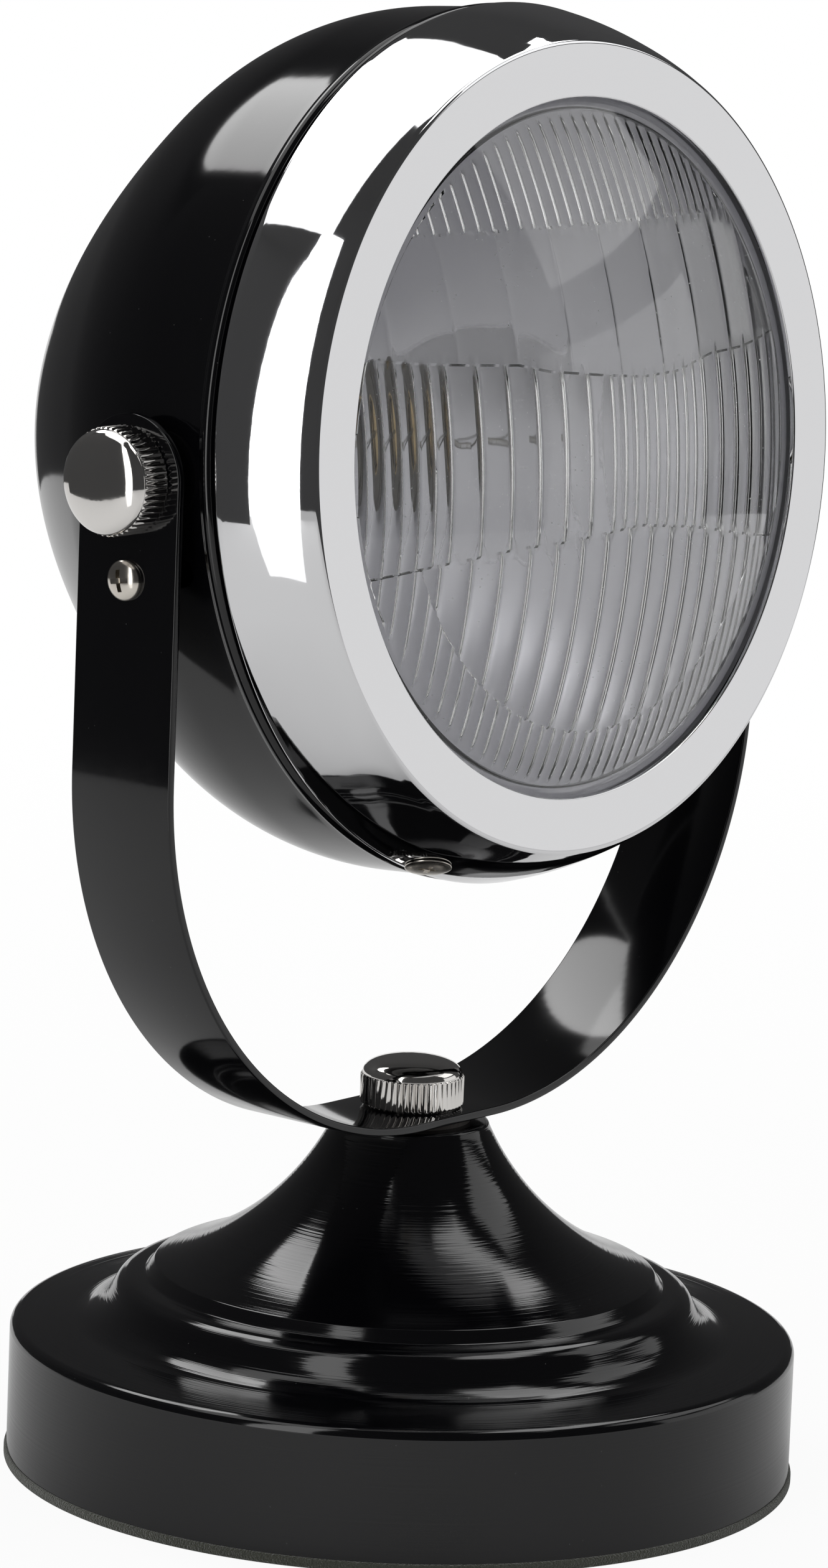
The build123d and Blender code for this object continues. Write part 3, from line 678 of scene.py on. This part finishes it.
def makeThumbNut(name, node, place):
    shape = nutShape
    perTooth = 8
    around = shape["teeth"] * perTooth
    tooth = []
    for k in range(around):
        ramp = (abs((k % perTooth) / perTooth * 2 - 1) - shape["toothTop"]) / shape["toothFlank"]
        tooth.append(shape["toothDepth"] * min(max(ramp, 0.0), 1.0))
    lead = shape["lead"]
    topLead = shape["topLead"]
    skirt = shape["skirt"]
    edge = shape["radius"] - lead
    crest = shape["radius"] - topLead
    plain = [(shape["bore"], shape["boreDepth"]), (shape["bore"], 0.0), (edge, 0.0)]
    knurled = [(edge + lead * i / 6, lead * i / 6) for i in range(1, 7)]
    knurled += [(crest + topLead * i / 6, skirt - topLead * i / 6) for i in range(6, 0, -1)]
    dome = [(crest, skirt)]
    for i in range(1, 24):
        angle = radians(90 * i / 24)
        dome.append((crest * cos(angle) ** shape["domePower"],
                     skirt + (shape["height"] - skirt) * sin(angle) ** shape["domePower"]))
    vertices = []
    rings = []
    for i, (radius, height) in enumerate(plain + knurled + dome):
        spots = []
        for k in range(around):
            angle = 2 * pi * k / around
            size = radius
            if len(plain) <= i < len(plain + knurled):
                size = min(radius, shape["radius"] - tooth[k])
            spot = Vector((size * cos(angle), size * sin(angle), height)) * mm
            spots.append(place @ spot)
        rings.append(addRing(vertices, spots))
    faces = ringFaces(rings)
    top, roof = addRing(vertices, [place @ Vector((0, 0, shape[height] * mm))
                                   for height in ("height", "boreDepth")])
    for k in range(around):
        n = (k + 1) % around
        faces.append((rings[-1][k], rings[-1][n], top))
        faces.append((rings[0][n], rings[0][k], roof))
    piece = newPiece(name, vertices, faces, 28.0)
    faceOutwards(piece)
    settle(piece, "nutChrome", node, "chrome", node)


def sideways(side):
    # place on the outer face of an arm, pointing out; side is -1 for the left arm
    turn = Matrix.Rotation(radians(90 * side), 4, "Y")
    return Matrix.Translation((side * yokeShape["halfWidth"] * mm, 0, pivotHeight * mm)) @ turn


makeThumbNut("baseThumbNut", "base_thumb_nut", Matrix.Translation((0, 0, nutShape["seat"] * mm)))
makeThumbNut("leftThumbNut", "left_thumb_nut", sideways(-1))
makeThumbNut("rightThumbNut", "right_thumb_nut", sideways(1))
print("thumb nuts made")


# screws with a cross recess

def makeCrossScrew(name, node, body, shape, place):
    radius, height, thread = shape["radius"], shape["height"], shape["thread"]
    rim = 0.25 * height
    profile = [(0, -shape["shank"]), (thread, -shape["shank"]), (thread, 0)]
    profile += roundedPath([(thread, 0), (radius, 0, 0.15), (radius, rim)], 30.0)
    for i in range(1, 16):
        angle = radians(90 * i / 16)
        profile.append((radius * cos(angle), rim + (height - rim) * sin(angle)))
    profile.append((0, height))
    piece = turnedPiece(name, profile, 96, place, closed=False)
    blades = [makeCrossBlade(name + "Cut" + str(i), shape, place, shape["turn"] + 90 * i)
              for i in range(2)]
    cutAway(piece, blades)
    shadeSmooth(piece, 28.0)
    settle(piece, "nickel", body, "nickel", node)


def makeCrossBlade(name, shape, place, turn):
    # tapered blade of a cross driver, standing in the head
    reach = shape["radius"] * 0.62
    thick = shape["radius"] * 0.13
    turned = place @ Matrix.Rotation(radians(turn), 4, "Z")
    corners = []
    for z, grow in ((shape["height"] * 0.25, 0.45), (shape["height"] + 1, 1.25)):
        for x, y in ((-1, -1), (1, -1), (1, 1), (-1, 1)):
            spot = Vector((x * reach * grow, y * thick * (0.7 + grow * 0.3), z)) * mm
            corners.append(turned @ spot)
    faces = [(3, 2, 1, 0), (4, 5, 6, 7), (0, 1, 5, 4), (1, 2, 6, 5), (2, 3, 7, 6), (3, 0, 4, 7)]
    return newPiece(name, corners, faces)


stopScrewShape = {"radius": 3.8, "height": 2.3, "thread": 2.0, "shank": 10.1, "turn": 10.0}
stopScrewPlace = Matrix.Translation((0, 0, -yokeShape["stopDrop"] * mm)) @ sideways(-1)
makeCrossScrew("stopScrewHead", "stop_screw", "yoke", stopScrewShape, stopScrewPlace)
print("stop screw made")


# head shell, drawn as (radius, distance ahead of the pivot)

shellShape = {
    "radius": 82.0,
    "wall": 1.0,
    "depth": 83.0,
    "bowl": 98.3,
    "rearFlat": 10.0,
    "rearHole": 5.5,
    "bowlEnd": 74.0,
    "lip": [(80.2, 16.0), (79.5, 16.4), (79.19, 16.9), (79.19, 23.5)],
    "beadAhead": 13.9,
    "beadRadius": 1.5,
    "beadProud": 0.7,
    "slotRadius": 18.4,
    "slotWidth": 5.0,
    "slotAngle": 20.0,
    "pivotHole": 3.2,
}


def shellOutline():
    shape = shellShape
    outer = shape["radius"]
    bead = shape["beadRadius"]
    points = [(shape["rearHole"], shape["rearFlat"] ** 2 / shape["bowl"] - shape["depth"])]
    for i in range(49):
        radius = shape["rearFlat"] + (shape["bowlEnd"] - shape["rearFlat"]) * i / 48
        points.append((radius, radius ** 2 / shape["bowl"] - shape["depth"]))
    # the bowl blends into the cylinder
    angle = atan(shape["bowl"] / (2 * shape["bowlEnd"]))
    blend = (outer - shape["bowlEnd"]) / (1 - cos(angle))
    bottom = points[-1][1] + blend * sin(angle)
    points += arcBetween(points[-1], (outer, bottom), blend, 20, True)
    # the cylinder runs up to the rolled bead
    centre = outer + shape["beadProud"] - bead
    half = sqrt(bead ** 2 - (outer - centre) ** 2)
    start = shape["beadAhead"] - half
    points += [(outer, bottom + (start - 0.4 - bottom) * i / 8) for i in range(1, 9)]
    points.append((outer + 0.05, start - 0.1))
    first = degrees(asin(-half / bead)) + 12
    for i in range(15):
        angle = radians(first + (75 - first) * i / 14)
        points.append((centre + bead * cos(angle),
                       shape["beadAhead"] + bead * sin(angle)))
    return points + shape["lip"]


def makeSlotCutter():
    # curved slot round the pivot, through the left side only
    shape = shellShape
    half = shape["slotWidth"] / 2
    outline = []
    for way in (1, -1):
        end = radians(shape["slotAngle"]) * way
        reach = shape["slotRadius"] + half * way
        for i in range(25):
            angle = end * (i / 12 - 1)
            outline.append((reach * sin(angle), -reach * cos(angle)))
        for i in range(1, 12):
            angle = end + radians(15 * i - 90 * way)
            outline.append((shape["slotRadius"] * sin(end) + half * cos(angle),
                            -shape["slotRadius"] * cos(end) + half * sin(angle)))
    vertices = []
    near, far = [addRing(vertices, [headPlace @ (Vector((side, up, ahead)) * mm)
                                    for ahead, up in outline]) for side in (-95.0, -70.0)]
    piece = newPiece("slotCut", vertices, [near, far[::-1], *bandFaces(near, far)])
    faceOutwards(piece)
    return piece


def makeHeadShell():
    shape = shellShape
    outline = shellOutline()
    piece = turnedPiece("bowlShell", thickened(outline, shape["wall"]), 288, headPlace)
    hole = cylinderBetween("pivotCut", shape["pivotHole"], (-90, 0, pivotHeight),
                           (90, 0, pivotHeight))
    cutAway(piece, [makeSlotCutter(), hole])
    smoothAsTurned(piece, outline, headPlace)
    settle(piece, "paint", "head", "black_paint", "head_shell")


makeHeadShell()
print("head shell made")


# bezel

bezelShape = {
    "rearRadius": 82.8,
    "rear": 17.1,
    "front": 35.2,
    "faceRadius": 75.7,
    "bulge": 0.9,
    "edgeRound": 1.0,
    "opening": 65.4,
    "lipRound": 0.35,
    "lip": 0.9,
    "wall": 1.0,
    "hem": 0.55,  # radius of the rolled rear edge
    "screwTurn": -21.5,
    "screwAhead": 21.0,
}


def bezelSide(ahead):
    shape = bezelShape
    taper = (shape["rearRadius"] - shape["faceRadius"]) / (shape["front"] - shape["rear"])
    middle = (shape["rear"] + shape["front"]) / 2
    share = (ahead - middle) / (shape["front"] - middle)
    crown = shape["bulge"] * (1 - abs(share) ** (3 if share > 0 else 2))  # rounder to the face
    return shape["rearRadius"] - taper * (ahead - shape["rear"]) + crown


def makeBezel():
    shape = bezelShape
    rear, front = shape["rear"], shape["front"]
    outline = []
    for i in range(9):
        angle = radians(-150 + 150 * i / 8)
        outline.append((shape["rearRadius"] - 0.5 + shape["hem"] * cos(angle),
                        rear + shape["hem"] * sin(angle)))
    for i in range(1, 25):
        ahead = rear + 0.3 + (front - 1.2 - rear - 0.3) * i / 24
        outline.append((bezelSide(ahead), ahead))
    outline += roundedPath([
        outline[-1],
        (bezelSide(front) + 0.12, front, shape["edgeRound"]),
        (shape["opening"], front, shape["lipRound"]),
        (shape["opening"], front - shape["lip"]),
    ], 9.0)[1:]
    piece = turnedPiece("bezelRing", thickened(outline, shape["wall"]), 384, headPlace)
    settle(piece, "chrome", "head", "chrome", "bezel")


def bezelScrewPlace():
    shape = bezelShape
    ahead = shape["screwAhead"]
    turn = radians(shape["screwTurn"])
    lean = atan(bezelSide(ahead - 0.5) - bezelSide(ahead + 0.5))
    radius = bezelSide(ahead) + 0.05
    spot = Vector((radius * sin(turn), -radius * cos(turn), ahead)) * mm
    return (headPlace @ Matrix.Translation(spot) @ Matrix.Rotation(turn, 4, "Z")
            @ Matrix.Rotation(radians(90) - lean, 4, "X"))


makeBezel()
bezelScrewShape = {"radius": 4.4, "height": 0.6, "thread": 1.7, "shank": 8.0, "turn": 35.0}
makeCrossScrew("bezelScrewHead", "bezel_screw", "head", bezelScrewShape, bezelScrewPlace())
print("bezel made")


# lens

lensShape = {
    "curve": 140.0,
    "centre": -90.57,
    "thickness": 3.2,
    "opening": 65.35,
    "rim": 70.0,
    "rimFront": 33.25,
    "rimRear": 29.25,
    "rimRound": 0.6,
    "window": 62.3,
    "windowRound": 0.4,
    "field": 61.5,
    "fineField": 52.0,
    "pitch": 3.15,
    "topBand": 41.8,
    "step": 0.5,
    "narrow": 0.6,  # a stretch of a band shorter than this has no ribs
    "valleyReach": 0.39,  # half the width of the groove between two ribs
    "valleyGroove": 0.12,
    "stepFrost": 0.4,
}
# widths and shifts are in pitches; a fuller rib is flatter in the middle
ribShapes = {
    "fine": {"width": 1, "shift": 0, "depth": 0.45, "fullness": 2.0, "frost": 0.6},
    "facet": {"width": 4, "shift": 1, "depth": 0.16, "fullness": 5.0, "frost": 0.35},
    "middle": {"width": 1, "shift": 0, "depth": 0.45, "fullness": 2.0, "frost": 1.0},
    "coarse": {"width": 2, "shift": 0, "depth": 0.6, "fullness": 3.0, "frost": 1.0},
    "coarseRight": {"width": 2, "shift": 1, "depth": 0.6, "fullness": 3.0, "frost": 1.0},
    "low": {"width": 2, "shift": 0.5, "depth": 0.6, "fullness": 3.0, "frost": 1.0},
}
# the wavy steps above and below the middle band, as (x, y) on the lens
clearEdge = [(-62, 20.8), (-58, 20.4), (-47.7, 19.2), (-37.6, 18.4), (-28, 17.8), (-21, 16.2),
             (-8, 14.7), (3.5, 13.6), (15, 13.9), (22, 15.3), (27, 16.1), (41, 16.3), (58, 17.7),
             (62, 18.0)]
lowerEdge = [(-62, -19.6), (-46, -17.3), (-29, -15.4), (-18, -15.1), (2, -13.6), (19, -15.4),
             (29, -17.0), (45, -19.5), (58, -21.0), (62, -21.4)]


def follow(line, x):
    for (x0, y0), (x1, y1) in zip(line[:-1], line[1:]):
        if x <= x1:
            share = (x - x0) / (x1 - x0)
            return y0 + (y1 - y0) * share
    return line[-1][1]


def middleRib(x):
    # in the middle band, fine ribs lie between coarse ones
    pitch = lensShape["pitch"]
    if -14 * pitch < x < -2 * pitch:
        return "coarse"
    return "coarseRight" if x > 7 * pitch else "middle"


def ribAt(kind, x):
    # depth of the rib, and how frosted its valley is
    rib = ribShapes[kind]
    pitch = lensShape["pitch"]
    width = rib["width"] * pitch
    share = (x + rib["shift"] * pitch) / width % 1.0
    depth = rib["depth"] * (1 - abs(share * 2 - 1) ** rib["fullness"])
    away = min(share, 1 - share) * width
    return depth, max(0.0, 1 - away / lensShape["valleyReach"]) * rib["frost"]


def lensInner(x, y):
    shape = lensShape
    inner = shape["curve"] - shape["thickness"]
    return shape["centre"] + sqrt(inner * inner - x * x - y * y)


def lensColumn(x):
    # points of the ribbed inside from the bottom to the top, each with its frost
    shape = lensShape
    reach = sqrt(shape["field"] ** 2 - x * x)
    inner = sqrt(max(shape["fineField"] ** 2 - x * x, 0.0))
    lower = max(follow(lowerEdge, x), -reach)
    clear = min(follow(clearEdge, x), reach)
    top = min(shape["topBand"], reach)
    ring = min(-inner, lower) if inner > 0 else lower
    bands = [(-reach, ring, "fine", 8), (ring, lower, "low", 18), (lower, clear, middleRib(x), 18),
             (clear, top, "facet", 10), (top, reach, "fine", 12)]
    column = []
    for band, (low, high, kind, count) in enumerate(bands):
        room = high - low
        blend = min(shape["step"] / 2, room / 4)
        for k in range(count + 1):
            y = low + blend + (room - 2 * blend) * (k / count)
            depth, frost = ribAt(kind, x)
            if room <= shape["narrow"]:
                depth = 0.0
            if band == 0 and k == 0 or band == 4 and k == count:
                depth = 0.0  # meets the smooth margin
                y = high if k else low
            elif k in (0, count):
                frost = max(frost, shape["stepFrost"])
            if 0 < k < count:
                depth -= frost * shape["valleyGroove"]
            column.append((x, y, lensInner(x, y) - depth, frost if room > shape["narrow"] else 0.0))
    return column


def makeLens():
    shape = lensShape
    spacing = shape["pitch"] / 8  # keeps every valley on a column
    side = int((shape["field"] - 0.45) / spacing)
    columns = [lensColumn(i * spacing) for i in range(-side, side + 1)]
    vertices = [headPlace @ (Vector(point[:3]) * mm) for column in columns for point in column]
    frosts = [point[3] for column in columns for point in column]
    tall = len(columns[0])
    last = len(columns) - 1
    faces = []
    for i in range(last):
        for a in range(i * tall, i * tall + tall - 1):
            faces.append((a, a + 1, a + tall + 1, a + tall))
    border = [i * tall for i in range(last + 1)]
    border += [last * tall + k for k in range(1, tall)]
    border += [i * tall + tall - 1 for i in range(last - 1, -1, -1)]
    border += list(range(tall - 2, 0, -1))
    # outer dome, rim and the smooth margin inside
    outer = []
    for i in range(41):
        radius = shape["opening"] * i / 40
        outer.append((radius, shape["centre"] + sqrt(shape["curve"] ** 2 - radius ** 2)))
    outer += roundedPath([
        (shape["opening"], shape["rimFront"]),
        (shape["rim"], shape["rimFront"], shape["rimRound"]),
        (shape["rim"], shape["rimRear"], shape["rimRound"]),
        (shape["window"], shape["rimRear"], shape["windowRound"]),
        (shape["window"], lensInner(shape["window"], 0)),
    ], 20.0)
    local = [headPlace.inverted() @ Vector(vertices[index]) for index in border]
    angles = [atan2(spot.y, spot.x) for spot in local]
    faces += ringFaces(addRings(vertices, outer, angles, headPlace) + [border])
    piece = newPiece("flutedLens", vertices, faces, 50.0)
    addValues(piece, "valley", frosts + [0.0] * (len(vertices) - len(frosts)))
    faceOutwards(piece, weld=1e-6)
    shadeSmooth(piece, 24.0)
    settle(piece, "lensGlass", "head", "lens_glass", "lens")


makeLens()
print("lens made")


# reflector, bulb and its cap

reflectorShape = {"focusScale": 76.6, "vertex": -28.53, "throat": 14.5, "hole": 12.7,
                  "mouth": 66.5, "rim": 70.0, "wall": 0.8}


def makeReflector():
    shape = reflectorShape
    points = [(shape["hole"], shape["vertex"] + shape["throat"] ** 2 / shape["focusScale"])]
    for i in range(61):
        radius = shape["throat"] + (shape["mouth"] - shape["throat"]) * i / 60
        points.append((radius, shape["vertex"] + radius ** 2 / shape["focusScale"]))
    points.append((shape["rim"], points[-1][1]))
    piece = turnedPiece("mirrorBowl", thickened(points, -shape["wall"]), 256, headPlace)
    settle(piece, "reflector", "head", "reflector", "reflector")


bulbShape = {
    "radius": 22.5,
    "glass": 0.8,
    "neck": 6.55,
    "neckBottom": -24.29,
    "length": 57.0,
    "throat": 18.0,
    "capRadius": 6.9,
    "capRear": -42.29,
    "capFront": -23.29,
    "capThreads": 5,
    "threadLength": 13.0,
}


def makeBulb():
    shape = bulbShape
    centre = shape["neckBottom"] + shape["length"] - shape["radius"]
    reach = shape["radius"] + shape["throat"]
    across = shape["neck"] + shape["throat"]
    drop = sqrt(reach ** 2 - across ** 2)
    share = shape["radius"] / reach
    join = (across * share, centre - drop * share)
    points = [(shape["neck"], shape["neckBottom"]), (shape["neck"], centre - drop)]
    points += arcBetween(points[-1], join, shape["throat"], 14)
    first = atan2(join[1] - centre, join[0])
    for i in range(1, 40):
        angle = first + (pi / 2 - first) * i / 40
        points.append((shape["radius"] * cos(angle),
                       centre + shape["radius"] * sin(angle)))
    points.append((0, centre + shape["radius"]))
    inner = [(max(radius + normal.x * shape["glass"], 0.0), height + normal.y * shape["glass"])
             for (radius, height), normal in zip(points, pathNormals(points))]
    inner[-1] = (0, centre + shape["radius"] - shape["glass"])
    piece = turnedPiece("bulbGlobe", inner[::-1] + points, 128, headPlace, closed=False)
    settle(piece, "bulbGlass", "head", "bulb_glass", "bulb_glass")
    return centre


def makeBulbCap():
    shape = bulbShape
    rear, front, outer = shape["capRear"], shape["capFront"], shape["capRadius"]
    points = [(0, rear), (2.6, rear), (3.4, rear + 0.8), (5.9, rear + 3.0)]
    steps = shape["capThreads"] * 10
    for i in range(steps + 1):
        points.append((outer - 0.4 + 0.4 * sin(2 * pi * i / 10),
                       rear + 3.6 + shape["threadLength"] * i / steps))
    points += [(outer - 0.2, front - 1.6), (outer - 0.2, front), (6.6, front), (6.6, front - 2.0),
               (0, front - 2.0)]
    piece = turnedPiece("bulbBrassCap", points, 96, headPlace, closed=False)
    settle(piece, "brass", "head", "brass", "bulb_cap")


def wirePiece(name, points, radius, finish):
    curve = bpy.data.curves.new(name, "CURVE")
    curve.dimensions = "3D"
    curve.bevel_depth = radius * mm
    curve.bevel_resolution = 3
    spline = curve.splines.new("POLY")
    spline.points.add(len(points) - 1)
    for spot, point in zip(spline.points, points):
        spot.co = (*(headPlace @ (Vector(point) * mm)), 1)
    holder = linked(name + "Line", curve)
    piece = linked(name, finalMesh(holder))
    bpy.data.objects.remove(holder)
    shadeSmooth(piece, 60.0)
    settle(piece, finish, "head", "zinc")


filamentShape = {"half": 8.0, "coil": 0.55, "turns": 20, "wire": 0.12, "lead": 0.25}


def makeFilament(centre):
    shape = filamentShape
    half = shape["half"]
    coil = []
    for i in range(241):
        angle = i / 240 * 2 * pi * shape["turns"]
        coil.append((-half + 2 * half * i / 240, shape["coil"] * cos(angle),
                     centre + shape["coil"] * sin(angle)))
    wirePiece("filamentCoil", coil, shape["wire"], "tungsten")
    for name, side in (("leadWireLeft", -1), ("leadWireRight", 1)):
        lead = [(side * 1.5, 0, bulbShape["capFront"] - 1.8), (side * 2.0, 0, centre - 18),
                (side * 4.5, 0, centre - 8), (side * half, 0, centre)]
        wirePiece(name, lead, shape["lead"], "zinc")


makeReflector()
makeFilament(makeBulb())
makeBulbCap()
print("bulb and reflector made")


# the nodes that keep their own shape

keptNodes = {
    "iron": ["base_weight"],
    "zinc": ["tie_rod", "tie_rod_nut", "tie_rod_washer", "bezel_clip_nut", "lens_clips",
             "backing_washer_left", "backing_washer_right", "pivot_bolt_left", "pivot_bolt_right"],
    "nickel": ["stop_screw_nut"],
    "fibre": ["neck_washer", "friction_washer_left", "friction_washer_right"],
    "gasketRubber": ["lens_gasket"],
    "holder": ["lampholder", "lampholder_ring_nut"],
    "brass": ["lampholder_screw_shell", "centre_contact", "terminal_screws"],
    "paint": ["pivot_spacer_left", "pivot_spacer_right"],
    "rubber": ["cord_grommet"],
}
for finish, nodes in keptNodes.items():
    for node in nodes:
        dress(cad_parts[node], finish)
print("kept nodes dressed")


# floor, surround, light and camera

stageLook = {
    "floorColour": 0.7,
    "floorSize": 9.0,
    "floorSeenWhite": 0.93,  # how far the floor at the lamp turns to plain white for the camera
    "seenStart": 0.3,  # from here to seenEnd it turns fully white for the camera
    "seenEnd": 0.8,
    "floorMirrored": 0.15,  # how far it turns white in metal and glass, away from the foot
    "footStart": 0.09,
    "footEnd": 0.3,
    "fadeStart": 1.1,  # metres from the lamp where the floor begins to turn white for all
    "fadeEnd": 2.6,
    "ambient": 0.58,
    "surroundTop": 2.4,
    "surroundReach": 1.2,
    "surroundGlow": 0.03,
}
# the dark surround, a sheet that shows only in mirrors as painted dark reflections, by sectors:
# compass angles from +Y towards +X in degrees, distance in metres, and the height below which the
# sector is left open to the white studio
surroundSectors = [(-180, -88, 1.13, 0), (-88, -20, 0.78, 0), (-20, 36, 1.13, 0),
                   (36, 64, 1.13, 0.12), (64, 180, 1.13, 0)]
# glowing cards inside it that show only in mirrors as painted reflections: sector, distance, lowest
# and highest edge, glow
reflectedCards = {
    "faceCard": {"from": 112, "to": 152, "radius": 1.0, "low": 0.0, "high": 0.42, "glow": 0.88},
    "sideCard": {"from": 108, "to": 146, "radius": 1.0, "low": 0.56, "high": 1.3, "glow": 1.3},
}
# level glowing cards that show only in mirrors as painted reflections: a lit panel overhead and a
# lit patch of floor at the left
levelCards = {
    "overheadCard": {"corners": [(-0.62, -0.05), (0.45, -0.05), (0.45, 0.62), (-0.62, 0.62)],
                     "height": 1.04, "glow": 1.5},
    "leftSpill": {"corners": [(-0.9, 0.03), (-0.43, -0.035), (-0.4, -0.12), (-0.9, -0.26)],
                  "height": 0.003, "glow": 1.4},
}


def shownRays(tree):
    # camera rays, and mirror and glass rays, which find a white studio
    rays = addNode(tree, "ShaderNodeLightPath", {}).outputs
    mirrored = addMath(tree, "MAXIMUM", rays["Is Glossy Ray"], rays["Is Transmission Ray"])
    return rays["Is Camera Ray"], mirrored


def makeFloor():
    look = stageLook
    size = look["floorSize"]
    corners = [(-size, -size, 0), (size, -size, 0), (size, size, 0), (-size, size, 0)]
    floor = newPiece("paleFloor", corners, [(0, 1, 2, 3)])
    material, tree, shader = newMaterial("paleFloor", {"Roughness": 0.9, "Specular IOR Level": 0.1})
    grain = useGroup(tree, orangePeel, Scale=8.0, Amount=1.0)
    addTint(tree, shader, grain, (look["floorColour"] - 0.01,) * 3,
            (look["floorColour"] + 0.01,) * 3)
    seen, mirrored = shownRays(tree)
    length = addNode(tree, "ShaderNodeVectorMath", {0: objectPlace(tree)},
                     operation="LENGTH").outputs["Value"]
    fade = addRange(tree, length, look["fadeStart"], look["fadeEnd"], 0.0, 1.0,
                    interpolation_type="SMOOTHSTEP")
    away = addRange(tree, length, look["footStart"], look["footEnd"], 0.0, look["floorMirrored"])
    bare = addRange(tree, length, look["seenStart"], look["seenEnd"], look["floorSeenWhite"], 1.0)
    far = addMath(tree, "MULTIPLY", fade, addMath(tree, "MAXIMUM", seen, mirrored))
    near = addMath(tree, "MAXIMUM", addMath(tree, "MULTIPLY", seen, bare),
                   addMath(tree, "MULTIPLY", mirrored, away))
    white = addNode(tree, "ShaderNodeEmission", {})
    mix = addNode(tree, "ShaderNodeMixShader", {
        "Fac": addMath(tree, "MAXIMUM", near, far),
        1: shader.outputs[0],
        2: white.outputs[0],
    })
    feed(tree.nodes["Material Output"], {"Surface": mix.outputs[0]})
    floor.data.materials.append(material)


def onlyReflected(name, vertices, faces, glow):
    # a dark or pale sheet that glows by its own emission and shows only in mirrors, a painted
    # reflection; glass still finds the white studio
    reflectionSheet = newPiece(name, vertices, faces)
    reflectionSheet.data.materials.append(newMaterial(name, {
        "Base Color": (0.02, 0.02, 0.021, 1),
        "Roughness": 1.0,
        "Emission Color": (1, 1, 1, 1),
        "Emission Strength": glow,
    })[0])
    reflectionSheet.visible_camera = False
    reflectionSheet.visible_diffuse = False
    reflectionSheet.visible_transmission = False
    reflectionSheet.visible_shadow = False


def curvedWall(start, end, radius, low, high, step=4):
    vertices = []
    faces = []
    count = max(1, round((end - start) / step))
    for i in range(count + 1):
        turn = radians(start + (end - start) * i / count)
        for height in (low, high):
            vertices.append((radius * sin(turn), radius * cos(turn), height))
        if i:
            faces.append((2 * i - 2, 2 * i, 2 * i + 1, 2 * i - 1))
    return vertices, faces


def makeSurround():
    look = stageLook
    top = look["surroundTop"]
    reach = look["surroundReach"]
    vertices = []
    faces = []
    for start, end, radius, low in surroundSectors:
        spots, quads = curvedWall(start, end, radius, low, top)
        faces += [tuple(index + len(vertices) for index in quad) for quad in quads]
        vertices += spots
    faces.append(tuple(range(len(vertices), len(vertices) + 4)))
    vertices += [(-reach, -reach, top), (reach, -reach, top), (reach, reach, top),
                 (-reach, reach, top)]
    onlyReflected("darkSurround", vertices, faces, look["surroundGlow"])
    for name, card in reflectedCards.items():
        spots, quads = curvedWall(card["from"], card["to"], card["radius"], card["low"],
                                  card["high"])
        onlyReflected(name, spots, quads, card["glow"])
    for name, card in levelCards.items():
        spots = [(x, y, card["height"]) for x, y in card["corners"]]
        onlyReflected(name, spots, [(0, 1, 2, 3)], card["glow"])


def makeWorld():
    world = bpy.data.worlds.new("studio")
    bpy.context.scene.world = world
    world.use_nodes = True
    tree = world.node_tree
    tree.nodes.clear()
    seen, mirrored = shownRays(tree)
    soft, white = [addNode(tree, "ShaderNodeBackground", {"Color": (1, 1, 1, 1), "Strength": level})
                   for level in (stageLook["ambient"], 1.0)]
    mix = addNode(tree, "ShaderNodeMixShader", {
        "Fac": addMath(tree, "MAXIMUM", seen, mirrored),
        1: soft.outputs[0],
        2: white.outputs[0],
    })
    addNode(tree, "ShaderNodeOutputWorld", {"Surface": mix.outputs[0]})


cameraFit = {
    "azimuth": 50.41,
    "elevation": 10.56,
    "roll": 2.28,
    "distance": 1389.4,
    "target": (0, 0, 152.0),
    "shift": (2.64, 17.56),
    "lens": 167.15,
    "sensor": 36.0,
}


def makeCamera():
    fit = cameraFit
    turn = radians(fit["azimuth"])
    rise = radians(fit["elevation"])
    roll = radians(fit["roll"])
    right = Vector((cos(turn), -sin(turn), 0))
    back = Vector((-cos(rise) * sin(turn), -cos(rise) * cos(turn),
                   sin(rise)))
    up = Vector((sin(rise) * sin(turn), sin(rise) * cos(turn),
                 cos(rise)))
    across = right * cos(roll) + up * sin(roll)
    upward = up * cos(roll) - right * sin(roll)
    spot = (Vector(fit["target"]) + back * fit["distance"] - across * fit["shift"][0]
            - upward * fit["shift"][1])
    data = bpy.data.cameras.new("studioCamera")
    data.sensor_fit = "VERTICAL"
    data.sensor_height = fit["sensor"]
    data.lens = fit["lens"]
    data.clip_end = 50.0
    camera = linked("studioCamera", data)
    turned = Matrix((across, upward, back)).transposed().to_4x4()
    camera.matrix_world = Matrix.Translation(spot * mm) @ turned
    bpy.context.scene.camera = camera


# radiance is how many times brighter than paper white a soft box looks
softBoxes = {
    "rearTop": {"spot": (0.06, 0.72, 1.0), "aim": (0.06, 0.72, 0.0), "size": (0.56, 0.60),
                "shape": "ELLIPSE", "lean": 0, "radiance": 3.8},
    "leftWall": {"spot": (-0.9, -0.11, 0.74), "aim": (0, -0.11, 0.74), "size": (0.30, 1.48),
                 "shape": "RECTANGLE", "lean": 0, "radiance": 2.6},
    "frontTop": {"spot": (0.46, -0.12, 1.0), "aim": (0.46, -0.12, 0.0), "size": (0.95, 0.3),
                 "shape": "RECTANGLE", "lean": 37, "radiance": 3.2},
}


def makeSoftBoxes():
    for name, box in softBoxes.items():
        data = bpy.data.lights.new(name, "AREA")
        data.shape = box["shape"]
        data.size, data.size_y = box["size"]
        data.energy = box["radiance"] * pi * data.size * data.size_y
        lamp = linked(name, data)
        spot = Vector(box["spot"])
        lamp.location = spot
        turn = (Vector(box["aim"]) - spot).to_track_quat("-Z", "Y")
        lean = Quaternion((0, 0, 1), radians(box["lean"]))
        lamp.rotation_euler = (turn @ lean).to_euler()
        lamp.visible_camera = False


makeFloor()
makeSurround()
makeWorld()
makeCamera()
makeSoftBoxes()
bpy.context.scene.view_settings.view_transform = "Standard"
print("stage made")

bpy.context.view_layer.update()
